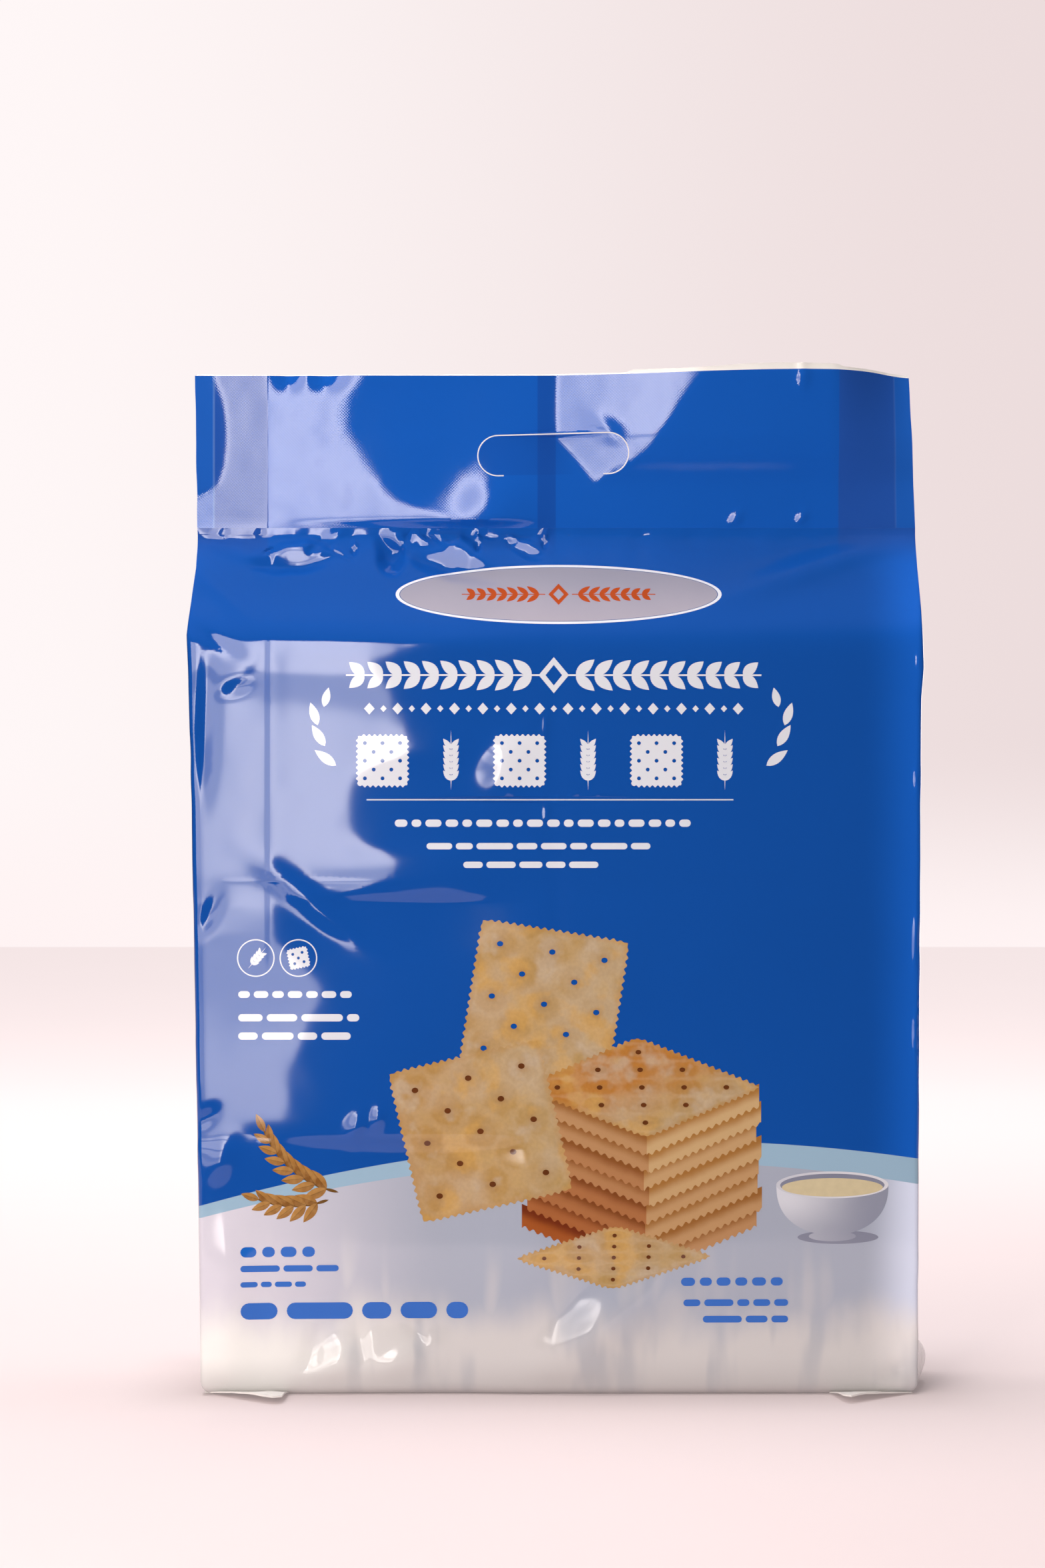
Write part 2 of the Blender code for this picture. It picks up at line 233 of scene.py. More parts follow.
# The softbox
SOFTBOX_RIGHT = -0.16
SOFTBOX_LEFT = -0.8
SOFTBOX_LOW = 0.02
SOFTBOX_TOP = 1.0
SOFTBOX_DISTANCE = 1.0
SOFTBOX_STRENGTH = 12.6
SOFTBOX_DIM = 0.46

# Where the softbox changes in brightness with height: from, to, factor below, factor above
SOFTBOX_BANDS = [
    (0.07, 0.11, 0.7, 0.5), (0.158, 0.192, 1.0, 2.0), (0.318, 0.336, 1.0, 0.52),
    (0.4, 0.424, 1.0, 2.12),
]

# The camera, the light above the table and the panel of light behind the bag
CAMERA_PLACE = (-0.0128, -1.5, 0.25)
CAMERA_LENS = 82.35
CAMERA_SENSOR = 36.0
TABLE_LIGHT_PLACE = (-0.15, 0.12, 1.6)
TABLE_LIGHT_TARGET = (-0.05, 0.0, 0.0)
TABLE_LIGHT_SIZE = 0.9
TABLE_LIGHT_POWER = 25.0
BACK_PANEL_LEFT = 0.16
BACK_PANEL_RIGHT = 0.8

# Fineness of the meshes, and how far the print lies off the film
WALL_ROWS = 192
SLOPE_ROWS = 29
SLOPE_START = 0.33
HEADER_ROWS = 58
FRONT_COLUMNS = 188
EDGE_COLUMNS = (0.0, 0.0002, 0.0005, 0.0009, 0.0015, 0.0024)
BACK_COLUMNS = 120
PRINT_LIFT = 0.00006
BACK_PRINT_LIFT = 0.00015
BACK_PRINT_PITCH = 0.002
PRINT_CLEARANCE = 0.0005
SHARP_ANGLE = 40.0

# Parts of the front film that need a finer mesh: x from and to, height from and to, spacing across and up
FINE_ZONES = [
    (-0.148, 0.012, 0.3385, 0.3542, 0.0007, 0.0007), (-0.011, -0.001, 0.232, 0.285, 0.0006, 0.0008),
    (-0.1187, -0.1155, 0.17, 0.309, 0.0004, 0.0014), (0.1462, 0.1488, 0.13, 0.308, 0.0004, 0.001),
    (-0.135, -0.056, 0.208, 0.2124, 0.003, 0.0004),
]

# Loose film: outlines of the ears on the floor, then the fin seam's flap and the back layer's lip
EARS = {
    "left_ear": [(-0.142, -0.016), (-0.1432, -0.0292), (-0.1135, -0.056), (-0.1098, -0.0535),
                 (-0.1085, -0.0292), (-0.1085, -0.016)],
    "right_ear": [(0.146, -0.016), (0.1472, -0.0292), (0.12, -0.0535), (0.1168, -0.0505),
                  (0.113, -0.0292), (0.113, -0.016)],
}
EAR_PITCH = 0.001
EAR_CLEARANCE = 0.0004
EAR_THICKNESS = 0.0007
EAR_CURL = 0.0026
EAR_ARCH = 0.0012
EAR_CRUMPLE = 0.0003
EAR_FOLD = 0.0012
SEAM_FIXED = 0.0008
SEAM_FREE = -0.0071
SEAM_GAP = 0.0001
SEAM_LIFT = 0.00035
SEAM_WAVE = 0.00025
SEAM_THICKNESS = 0.0002
SEAM_LOW = 0.006
SEAM_TOP = 0.35
SEAM_PITCH = 0.0024
LIP_RISE = 0.0006
LIP_CROWN = 0.0012
LIP_WAVE = 0.0002
LIP_DEPTH = 0.004
LIP_FRONT = 0.00045
LIP_BACK = 0.00075
LIP_MARGIN = 0.0004
LIP_COLUMNS = 260

# Print: the inks of each piece, the crackers' holes and layers, and the places of the ornaments
INK_PIECES = {
    "print_white": ["white"],
    "print_badge": ["badge", "navy", "rust"],
    "print_blue": ["blue"],
    "print_crackers": ["cracker", "layer", "hole"],
    "print_branches": ["stem", "leaf"],
    "print_bowl": ["china", "dip", "shade"],
}
HOLE_MARGIN = 0.14
HOLE_PITCH = 0.18
HOLES = [(HOLE_MARGIN + HOLE_PITCH * column, HOLE_MARGIN + HOLE_PITCH * row)
         for row in range(5) for column in range(5) if (row + column) % 2 == 0]
HOLE_REACH = 0.022
CRACKER_EDGE_WAVE = 0.0011
LAYER_OVERLAP = 0.0014
LAYER_WAVES = 15
BADGE_X = 0.0021
BADGE_HEIGHT = 0.3283
GARLAND_HEIGHT = 0.2945
RING_HEIGHT = 0.1789
LEFT_RING_X = -0.1218
RIGHT_RING_X = -0.1044

# Leaves of the sprigs: x, height, length, width, angle
SPRIG_LEAVES = [
    (0.088, 0.2575, 0.0108, 0.004, 36.0), (0.0925, 0.2655, 0.0102, 0.004, 58.0),
    (0.0955, 0.274, 0.0098, 0.0038, 72.0), (0.093, 0.2815, 0.0082, 0.0034, 104.0),
]

# Rows of bars: x from and to, height, thickness, lengths of the bars in turn, ink
BAR_ROWS = [
    (-0.065, 0.056, 0.234, 0.003, (0.0052, 0.004, 0.0066), "white"),
    (-0.052, 0.0395, 0.2246, 0.0026, (0.0105, 0.007, 0.015, 0.0085), "white"),
    (-0.037, 0.0225, 0.217, 0.0026, (0.008, 0.012, 0.0095), "white"),
    (-0.129, -0.078, 0.164, 0.0028, (0.0048, 0.006), "white"),
    (-0.129, -0.0795, 0.1545, 0.003, (0.01, 0.0125, 0.017), "white"),
    (-0.129, -0.083, 0.147, 0.003, (0.008, 0.013), "white"),
    (-0.128, -0.0945, 0.0588, 0.0042, (0.0065, 0.0052), "blue"),
    (-0.128, -0.088, 0.052, 0.0026, (0.016, 0.012), "blue"),
    (-0.128, -0.098, 0.0455, 0.0022, (0.007, 0.0045), "blue"),
    (-0.128, -0.035, 0.0345, 0.0068, (0.015, 0.027, 0.012), "blue"),
    (0.052, 0.096, 0.0465, 0.0034, (0.0058, 0.005), "blue"),
    (0.053, 0.096, 0.0378, 0.0028, (0.007, 0.012, 0.005), "blue"),
    (0.061, 0.096, 0.031, 0.0028, (0.016, 0.009), "blue"),
]

# Colours of the film's print: base colours, then what the light and the wraps behind make of them
BLUE = (0.0055, 0.073, 0.352)
TEAL = (0.305, 0.462, 0.595)
WHITE = (0.365, 0.402, 0.49)
# painted light: the white field's colour on the left, where the film mirrors the softbox
WHITE_LIT_LEFT = (0.66, 0.64, 0.72)
FOOT = (0.6, 0.585, 0.58)
# painted light: the foot's colour on the left, where the softbox lights it
FOOT_LIT_LEFT = (0.88, 0.88, 0.85)
FOOT_SHADE = (0.46, 0.438, 0.438)
# painted shade: the grey of the upright shadows between the wraps, seen through the foot
STREAK_SHADOW = (0.36, 0.385, 0.44)
GUSSET_SHADE = (0.019, 0.076, 0.35)
# the darker blue where the fin seam lies behind the film; it is also the colour of the painted shade in the
# slot's flap
SEAM_BLUE_AND_SLOT_SHADE = (0.0085, 0.056, 0.3)
EDGE_STRIP = (0.012, 0.102, 0.46)
# painted highlight: the thin pale line along the border of the header's sealed edge strips
EDGE_HIGHLIGHT = (0.2, 0.34, 0.62)
FILM_ROUGHNESS = 0.07
PICTURE_ROUGHNESS = 0.08

# The pale arc over the white foot: its highest place, its bend, its width and how that grows to the right
ARC_MIDDLE = 0.047
ARC_TOP = 0.1042
ARC_BEND = 0.72
ARC_WIDTH = 0.00766
ARC_WIDENING = 0.0184
PRINT_EDGE = 0.0001

# The header's sealed edges, and the fine reliefs of its knurl, its folds and the fin seam's ribs
EDGE_STRIP_LEFT = -0.1419
EDGE_STRIP_RIGHT = 0.1433
KNURL_PITCH = 0.00085
KNURL_DEPTH = 0.000002
FOLD_STEP = 0.000022
SEAM_RIB_PITCH = 0.0018
SEAM_RIB_DEPTH = 0.00002
BADGE_LOW = 0.315

# Plain inks: colour, drift of the colour, and how many drifts there are in a metre
PLAIN_INKS = {
    "white": ((0.7, 0.73, 0.79),),
    "navy": ((0.02, 0.06, 0.22),),
    "rust": ((0.4, 0.06, 0.01),),
    "blue": ((0.012, 0.125, 0.52),),
    "hole": ((0.12, 0.035, 0.01), 0.3, 200.0),
    "stem": ((0.15, 0.075, 0.022), 0.2, 200.0),
    "dip": ((0.6, 0.52, 0.33), 0.1, 300.0),
    "shade": ((0.22, 0.235, 0.31), 0.1, 60.0),
}


# Plain rules of shape

def smooth_step(start, end, value):
    """A soft ramp from 0 at start to 1 at end."""
    share = np.clip((value - start) / (end - start), 0.0, 1.0)
    return share * share * (3.0 - 2.0 * share)


def bump(centre, reach, value):
    """A soft bump of height 1 at centre."""
    return np.exp(-(((value - centre) / reach) ** 2))


def soft_positive(value, softness):
    """A value where it is above 0 and 0 elsewhere, with a rounded change."""
    return 0.5 * (value + np.hypot(value, softness))


def soft_lower(first, second, softness):
    """The lower of two values, with a rounded change between them."""
    return 0.5 * (first + second - np.hypot(first - second, softness))


def log_cosh(value):
    """The natural logarithm of the hyperbolic cosine, safe for large values."""
    size = np.abs(value)
    return size + np.log1p(np.exp(-2.0 * size)) - math.log(2.0)


def soft_noise(across, up, size, seed):
    """Smooth noise of about -1 to 1 whose humps are about size across."""
    lattice = np.random.default_rng(seed).uniform(-1.0, 1.0, (64, 64))
    place_a = across / size + 17.3
    place_b = up / size + 9.1
    cell_a = np.floor(place_a).astype(int)
    cell_b = np.floor(place_b).astype(int)
    part_a = place_a - cell_a
    part_b = place_b - cell_b
    ease_a = part_a**3 * (part_a * (6.0 * part_a - 15.0) + 10.0)
    ease_b = part_b**3 * (part_b * (6.0 * part_b - 15.0) + 10.0)

    def corner(step_a, step_b):
        return lattice[(cell_a + step_a) % 64, (cell_b + step_b) % 64]

    low = corner(0, 0) * (1.0 - ease_a) + corner(1, 0) * ease_a
    high = corner(0, 1) * (1.0 - ease_a) + corner(1, 1) * ease_a
    return low * (1.0 - ease_b) + high * ease_b


def smooth_line(table, place):
    """The second value of a table of pairs at a place, by a smooth curve that doesn't overshoot."""
    stops = np.array([pair[0] for pair in table])
    values = np.array([pair[1] for pair in table])
    rates = np.diff(values) / np.diff(stops)
    slopes = np.concatenate([rates[:1], 0.5 * (rates[:-1] + rates[1:]), rates[-1:]])
    for index in range(1, len(values) - 1):
        before, after = rates[index - 1], rates[index]
        limit = 3.0 * min(abs(before), abs(after)) if before * after > 0.0 else 0.0
        slopes[index] = np.clip(slopes[index], -limit, limit)
    index = np.clip(np.searchsorted(stops, place) - 1, 0, len(stops) - 2)
    width = stops[index + 1] - stops[index]
    share = np.clip((place - stops[index]) / width, 0.0, 1.0)
    rest = 1.0 - share
    start = values[index] * rest**2 * (1.0 + 2.0 * share) + slopes[index] * width * share * rest**2
    end = values[index + 1] * share**2 * (3.0 - 2.0 * share) - slopes[index + 1] * width * share**2 * rest
    return start + end


def soft_ramp(value, start, end, softness):
    """A ramp of slope 1 from start to end, level on both sides."""
    first = np.hypot(value - start, softness)
    last = np.hypot(value - end, softness)
    return 0.5 * (first - last + end - start)


def edges_at(height):
    """The left and right edge of the panels at a height."""
    levels, left, right = zip(*EDGE_LINE)
    waves = [EDGE_WAVE * soft_noise(0.0 * height, height, EDGE_WAVE_SIZE, seed) for seed in (71, 72)]
    return np.interp(height, levels, left) + waves[0], np.interp(height, levels, right) + waves[1]


def across_panel(x, height):
    """Place across a panel, from -1 at its left edge to 1 at its right edge."""
    left, right = edges_at(height)
    return np.clip((2.0 * x - left - right) / (right - left), -1.0, 1.0)


def slope_depth(height):
    """Depth of the panels where they lean in from the shoulder to the seal, steep at first under the seal."""
    full = EDGE_HALF_DEPTH + 0.0065
    below = SEAL_HEIGHT - height
    whole = SEAL_HEIGHT - SHOULDER_HEIGHT
    soft = np.sign(below) * (np.hypot(below, SEAL_SOFTNESS) - SEAL_SOFTNESS)
    return full * soft / (math.hypot(whole, SEAL_SOFTNESS) - SEAL_SOFTNESS)


def opened_depth(height):
    """Half depth at the panels' edges, where the gussets open out towards the base."""
    return EDGE_HALF_DEPTH + 0.002 * (1.0 - smooth_step(0.0, BASE_OPENING_HEIGHT, height))


def edge_depth(height):
    """Distance of a panel's side edges from the middle plane, without the film's own thickness."""
    return np.maximum(0.0, soft_lower(opened_depth(height), slope_depth(height), SHOULDER_SOFTNESS))


def lean_in(full, height):
    """Depth of the film from the middle plane, once it leans in under the seal."""
    leaning = soft_lower(full, slope_depth(height), SHOULDER_SOFTNESS)
    return FILM_THICKNESS / 2 + np.maximum(0.0, leaning)


def header_top(x):
    """Height of the header's top edge."""
    corner_drop = 0.0012 * smooth_step(0.13, 0.15, x)
    return SEAL_HEIGHT + HEADER_HEIGHT + HEADER_CROWN * bump(0.11, 0.06, x) - corner_drop


def seam_rise(x):
    """Relief of the fin seam that is folded flat along the back."""
    left = smooth_step(BACK_SEAM_LEFT - BACK_SEAM_STEP, BACK_SEAM_LEFT, x)
    right = 1.0 - smooth_step(BACK_SEAM_RIGHT, BACK_SEAM_RIGHT + BACK_SEAM_STEP, x)
    return BACK_SEAM_RISE * left * right


def base_inset(height):
    """How far the rounded bottom edge draws a section in."""
    below = np.clip(BASE_ROUNDING - height, 0.0, BASE_ROUNDING)
    return BASE_ROUNDING - np.sqrt(BASE_ROUNDING**2 - below**2)


def gusset_inset(height, side):
    """How far a gusset's fold lies inside the panels' edges; below 0 it stands out past them."""
    depth = np.minimum(edge_depth(height), GUSSET_HALF_PANEL)
    inset = np.sqrt(GUSSET_HALF_PANEL**2 - depth**2)
    if side > 0:
        share = bump(FOOT_POKE_HEIGHT, 0.014, height)
        return inset * (1.0 - share) - FOOT_POKE * share
    return inset


# The front film: flat over the stacks, with a left side that turns towards the light

def waves_of(table, x, height):
    """The sum of a table's layers of noise."""
    return sum(rise * soft_noise(x, height, size, seed) for size, rise, seed in table)


def ripples(x, height, size, fine_size, seed):
    """Upright ripples of two sizes."""
    return soft_noise(x, 0.35 * height, size, seed) + 0.4 * soft_noise(x, 0.5 * height, fine_size, seed + 1)


def off_base(height):
    """A share that keeps relief clear of the folded base."""
    return smooth_step(BASE_CLEARANCE, BASE_FADE, height)


def near_seal(below, reach):
    """A share that is large a little below the seal and fades within a reach."""
    return np.exp(-below / reach) * smooth_step(0.0, SEAL_CLEARANCE, below)


def tier_lines(height):
    """Soft bumps at the lines between the tiers."""
    return sum(bump(tier * TIER_HEIGHT, CREASE_REACH, height) for tier in range(1, TIERS))


def filling(height):
    """How much of a panel's bulge there is at a height: less towards the base."""
    return 0.45 + 0.55 * smooth_step(0.0, 0.6 * TIER_HEIGHT, height)


def facing_slope(x, depth):
    """The slope at which film of a depth mirrors the softbox's right edge to the camera."""
    share = (SOFTBOX_DISTANCE - depth) / (-CAMERA_PLACE[1] - depth)
    return (x + share * (x - CAMERA_PLACE[0]) - SOFTBOX_RIGHT) / (2.0 * (SOFTBOX_DISTANCE - depth))


def turned_height(run, level_slope, left_slope, right_slope, curve, width):
    """Fall of the film over a run to the left of its turn."""
    total = left_slope + right_slope
    shift = np.arctanh((right_slope - left_slope) / total)
    blend = 0.5 * (run + width * (log_cosh(run / width + shift) - log_cosh(shift)))
    reach = np.hypot(run, width)
    hollow = 0.25 * (run * run + run * reach + width**2 * np.arcsinh(run / width))
    return (level_slope - right_slope) * run + total * blend - curve * hollow


def turn_fall(x, turn, depth, left_slope, right_slope, width):
    """How far the film has fallen back left of its turn; it comes level again towards the middle."""
    level_slope = facing_slope(turn, depth)
    curve = (facing_slope(0.1, depth) - facing_slope(0.0, depth)) / 0.1
    right_slope = right_slope + 0.35 * np.maximum(level_slope, 0.0)
    shape = (level_slope, left_slope, right_slope, curve, width)
    here = turned_height(turn - np.minimum(x, 0.0), *shape)
    pivot = turned_height(turn - TURN_PIVOT, *shape)
    middle = turned_height(turn, *shape)
    rejoin = smooth_step(-0.05, 0.0, x)
    return here - pivot - (middle - pivot) * rejoin


def left_fall(x, height):
    """How far the left column's film has fallen back at a place."""
    turn = smooth_line(LEFT_TURN, height)
    return turn_fall(x, turn, FRONT_DEPTH, TURN_LEFT_SLOPE, TURN_RIGHT_SLOPE, TURN_WIDTH)


def oval_parts(x, height, centre_x, centre_height, angle, long, wide):
    """Places along and aside of an oval's long axis, as shares of its half length and half width."""
    turn = math.radians(angle)
    along = (x - centre_x) * math.cos(turn) + (height - centre_height) * math.sin(turn)
    aside = (height - centre_height) * math.cos(turn) - (x - centre_x) * math.sin(turn)
    return along / long, aside / wide


def mounds_of(table, x, height):
    """The sum of a table's soft oval mounds, each with its rise."""
    total = 0.0
    for *shape, rise in table:
        along, aside = oval_parts(x, height, *shape)
        total = total + rise * np.exp(-(along**2) - aside**2)
    return total


def seal_puckers(x, height):
    """Relief of the film's puckers just under the seal, where it hangs straight down for a little."""
    below = np.maximum(0.0, SEAL_HEIGHT - height)
    wobble = PUCKER_WOBBLE * soft_noise(x, height, 0.006, 13)
    share = np.zeros_like(x)
    relief = np.zeros_like(x)
    leaning = lean_in(np.full_like(height, PUCKER_DEPTH), height)
    for *shape, tilt in PUCKERS:
        centre_x, centre_height, angle, long, wide = shape
        along, aside = oval_parts(x, height + wobble, *shape)
        inside = np.exp(-((along**2 + aside**2) ** 2.6))
        line = centre_height + long * np.clip(along, -1.0, 1.0) * math.sin(math.radians(angle))
        hanging = lean_in(np.full_like(line, PUCKER_DEPTH), line) + PUCKER_SLOPE * (height - line)
        share = share + inside
        relief = relief + inside * (hanging - leaning + tilt * (x - centre_x))
    relief = relief / np.maximum(1.0, share)
    for shape in PUCKER_CUTS:
        along, aside = oval_parts(x, height, *shape)
        cut = np.exp(-((along**2 + aside**2) ** 1.5))
        relief = relief * (1.0 - cut) - PUCKER_CUT_DEPTH * cut
    near = near_seal(below, SEAL_RIPPLE_REACH) * (1.0 - 0.75 * np.minimum(1.0, share))
    ripple = SEAL_RIPPLE * ripples(x, height, 0.0075, 0.0032, 11) * near
    return relief * smooth_step(0.0, 0.002, below) + ripple - SEAL_GROOVE * bump(0.0008, 0.0009, below)


def film_dents(x, height):
    """Relief of the front film's dents and waves, and of the line that the gusset's fold leaves on it."""
    relief = mounds_of(FILM_DENTS, x, height) + waves_of(FILM_NOISE, x, 0.8 * height)
    step = FOLD_PRINT_DEPTH * np.tanh((x - FOLD_PRINT_X) / FOLD_PRINT_WIDTH) * bump(FOLD_PRINT_X, 0.01, x)
    turn = FOLD_TURN * soft_positive(FOLD_PRINT_X - x, FOLD_SOFTNESS)
    fold = (step - turn) * smooth_step(0.17, 0.2, height)
    clear = off_base(height) * (1.0 - smooth_step(SEAL_HEIGHT - SEAL_FADE, SEAL_HEIGHT, height))
    return (relief + fold) * clear


def film_creases(across, height):
    """The faint grooves that the film shows between the tiers and the columns."""
    return FRONT_TIER_CREASE * tier_lines(height) + FRONT_COLUMN_CREASE * bump(0.0, 0.03, across)


def front_depth(x, height):
    """Depth of the front film from the middle plane."""
    across = across_panel(x, height)
    rim = (1.0 - np.abs(across) ** RIM_POWER) ** 0.6
    right_fall = RIGHT_FALL * smooth_step(0.0, 1.0, across)
    fullness = (FRONT_FULLNESS - left_fall(x, height) - right_fall) * rim
    full = opened_depth(height) + filling(height) * fullness
    full = full - film_creases(across, height) * (1.0 - across**2)
    dents = film_dents(x, height) * (1.0 - across**RIM_POWER)
    return lean_in(full, height) + seal_puckers(x, height) + dents


def back_depth(x, height):
    """Depth of the back film from the middle plane."""
    across = across_panel(x, height)
    lobes = np.maximum(0.0, 1.0 - across**2) ** 0.4
    full = opened_depth(height) + BACK_BULGE * lobes * filling(height)
    column = bump(0.0, 0.05, across) * smooth_step(0.0, 0.3 * TIER_HEIGHT, height)
    creases = TIER_CREASE * (1.0 - 0.5 * np.abs(across)) * tier_lines(height) + COLUMN_CREASE * column
    relief = back_relief(x, height) * (1.0 - across**BACK_RIM_POWER)
    return lean_in(full - creases * (1.0 - across**2), height) + seam_rise(x) + relief


def back_relief(x, height):
    """Relief of the back film's folds, waves and the puckers under its seal."""
    below = np.maximum(0.0, SEAL_HEIGHT - height)
    relief = mounds_of(BACK_DENTS, x, height) + waves_of(BACK_NOISE, x, 0.8 * height)
    clear = off_base(height) * smooth_step(0.0, SEAL_FADE, below)
    ripple = BACK_SEAL_RIPPLE * ripples(x, height, 0.008, 0.0034, 15)
    return relief * clear + ripple * near_seal(below, BACK_SEAL_RIPPLE_REACH)


def gusset_crumple(stop, height, side):
    """How far a gusset's film stands out between its fold and edges; stop is -1 to 1 from front to back."""
    soft = 4.0 * abs(stop) * (1.0 - abs(stop))
    waves = waves_of([(size, rise, seed + side) for size, rise, seed in GUSSET_NOISE], 0.03 * stop, height)
    tension = GUSSET_TENSION * math.sin(21.0 * stop + 95.0 * height + side) * smooth_step(0.22, 0.33, height)
    return soft * (waves + tension) * smooth_step(0.0, 0.006, height)


def panel_place(x, height, depth, side):
    """Places of a panel's film; side is -1 for the front and 1 for the back."""
    left, right = edges_at(height)
    inset = base_inset(height)
    across = across_panel(x, height)
    moved = 0.5 * (left + right) + across * (0.5 * (right - left) - inset)
    return np.stack([moved, side * (depth - inset), height], axis=-1)


def front_place(flat):
    """Places on the front film for flat places (x, height) on its pattern."""
    x, height = flat[:, 0], flat[:, 1]
    return panel_place(x, height, front_depth(x, height), -1)


def back_place(flat):
    """Places on the back film for flat places (x, height) on its pattern."""
    x, height = flat[:, 0], flat[:, 1]
    return panel_place(x, height, back_depth(x, height), 1)


def header_depth(x, height):
    """How far the header's middle stands out in front of the middle plane."""
    share = np.maximum(0.0, (height - SEAL_HEIGHT) / HEADER_HEIGHT)
    opened = smooth_step(0.0, 0.06, share)
    start, end = (smooth_line([(row[0], row[part]) for row in SEAM_RAMP], height) for part in (1, 2))
    lean = SEAM_RAMP_SLOPE * soft_ramp(x, start, end, SEAM_RAMP_SOFTNESS) * smooth_step(0.0, 0.35, share)
    corner = share**1.4 * HEADER_CORNER_BEND * smooth_step(0.115, 0.152, x)
    settle = 0.35 * lean * smooth_step(0.085, 0.15, x)
    turn = smooth_line(HEADER_TURN, height)
    fall = turn_fall(x, turn, 0.0, HEADER_LEFT_SLOPE, HEADER_RIGHT_SLOPE, HEADER_TURN_WIDTH)
    curl = HEADER_CURL * soft_positive(smooth_line(HEADER_RIM, height) - x, CURL_SOFTNESS)
    fold = HEADER_FOLD_TURN * soft_positive(GUSSET_FOLD_LEFT - x, FOLD_SOFTNESS)
    relief = mounds_of(HEADER_MOUNDS, x, height) + waves_of(HEADER_NOISE, x, height)
    return lean - settle - corner + opened * (curl - fold - fall + relief)


def header_place(flat, side):
    """Places on the header's front (-1) or back (1) face."""
    x, height = flat[:, 0], flat[:, 1]
    rise = seam_rise(x) if side > 0 else 0.0
    return np.stack([x, side * FILM_THICKNESS / 2 + rise - header_depth(x, height), height], axis=-1)


def gusset_row(height, side):
    """The points of a side gusset at a height, from the front edge to the back edge."""
    left, right = edges_at(height)
    inset = base_inset(height)
    edge = right - inset if side > 0 else left + inset
    outer = edge_depth(height) + FILM_THICKNESS / 2 - inset
    inner = outer - FILM_THICKNESS
    fold = gusset_inset(height, side)
    poke = CORNER_POKE * bump(CORNER_POKE_HEIGHT, 0.007, height) if side > 0 else 0.0
    row = [(edge, -outer, height), (edge, -inner, height)]
    for step in range(1, GUSSET_COLUMNS):
        stop = 2.0 * step / GUSSET_COLUMNS - 1.0
        outward = poke * math.sin(math.pi * (1.0 + stop)) if stop < 0 else 0.0
        outward += gusset_crumple(stop, height, side)
        row.append((edge - side * (fold * (1.0 - abs(stop)) - outward), stop * inner, height))
    row += [(edge, inner, height), (edge, outer, height)]
    return row


# Patterns and meshes

def body_levels():
    """Heights of the rows from the base to the notch under the seal."""
    rounding = [BASE_ROUNDING * (1.0 - math.cos(math.radians(angle))) for angle in range(0, 91, 15)]
    wall = np.linspace(BASE_ROUNDING, SLOPE_START, WALL_ROWS)[1:]
    slope = np.linspace(SLOPE_START, NOTCH_TOP, SLOPE_ROWS)[1:]
    return rounding + wall.tolist() + slope.tolist()


def between(start, end, share):
    """The place at a share of the way from start to end."""
    return start[0] + share * (end[0] - start[0]), start[1] + share * (end[1] - start[1])


def split_sides(outline, pitch, whole=math.ceil):
    """The outline's points with more points along its long sides."""
    points = []
    for start, end in zip(outline, outline[1:] + outline[:1]):
        steps = max(1, whole(math.dist(start, end) / pitch))
        points += [between(start, end, step / steps) for step in range(steps)]
    return points


def cell_of(point, size):
    """The cell of a square grid that a point lies in."""
    return round(point[0] / size), round(point[1] / size)


def clear_of(points, outlines, clearance=PRINT_CLEARANCE):
    """The points that keep clear of every outline, so that no sliver is made."""
    taken = set()
    for outline in outlines:
        for point in split_sides(outline, clearance):
            column, row = cell_of(point, clearance)
            taken.update((column + a, row + b) for a in (-1, 0, 1) for b in (-1, 0, 1))
    return [point for point in points if cell_of(point, clearance) not in taken]


def triangulate(points, outlines):
    """Triangles of a flat pattern: places, corners, and the last outline that holds each triangle."""
    places = [Vector(point) for point in points]
    loops = []
    for outline in outlines:
        area = sum(a[0] * b[1] - b[0] * a[1] for a, b in zip(outline, outline[1:] + outline[:1]))
        loops.append(list(range(len(places), len(places) + len(outline))))
        places += [Vector(point) for point in (outline if area > 0 else outline[::-1])]
    made = delaunay_2d_cdt(places, [], loops, 1, 1e-7, True)
    flat = np.array([tuple(place) for place in made[0]])
    held = [(triangle, max(marks)) for triangle, marks in zip(made[2], made[5]) if marks]
    corners = np.array([triangle for triangle, mark in held])
    holders = np.array([mark for triangle, mark in held])
    return flat, corners, holders


def grid_of(x_values, heights):
    """Flat places of a grid, row by row."""
    return [(float(x), float(height)) for height in heights for x in x_values]


def rim_and_inside(rows):
    """The border of rows of points, counter-clockwise, and the points inside it."""
    border = rows[0] + [row[-1] for row in rows[1:-1]] + rows[-1][::-1] + [row[0] for row in rows[-2:0:-1]]
    return border, [point for row in rows[1:-1] for point in row[1:-1]]


def join_parts(parts):
    """One list of places and faces from parts of places and faces, with equal places welded."""
    places = np.concatenate([np.asarray(part[0], float).reshape(-1, 3) for part in parts])
    unique, first, where = np.unique(np.round(places, 7), axis=0, return_index=True, return_inverse=True)
    where = where.reshape(-1)
    faces = []
    start = 0
    for part_places, part_faces in parts:
        for face in part_faces:
            joined = [int(where[start + corner]) for corner in face]
            slim = [corner for index, corner in enumerate(joined) if corner != joined[index - 1]]
            if len(set(slim)) >= 3:
                faces.append(slim)
        start += len(part_places)
    return places[first], faces


def add_piece(name, places, faces, materials, marks=None):
    """A smooth mesh object that rides the bag."""
    data = bpy.data.meshes.new(name)
    data.from_pydata([tuple(place) for place in places], [], [tuple(face) for face in faces])
    for material in materials:
        data.materials.append(material)
    if marks is not None:
        data.polygons.foreach_set("material_index", marks)
    data.shade_smooth()
    data.set_sharp_from_angle(angle=math.radians(SHARP_ANGLE))
    data.update()
    piece = bpy.data.objects.new(name, data)
    bpy.context.scene.collection.objects.link(piece)
    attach(piece, "root")
    return piece


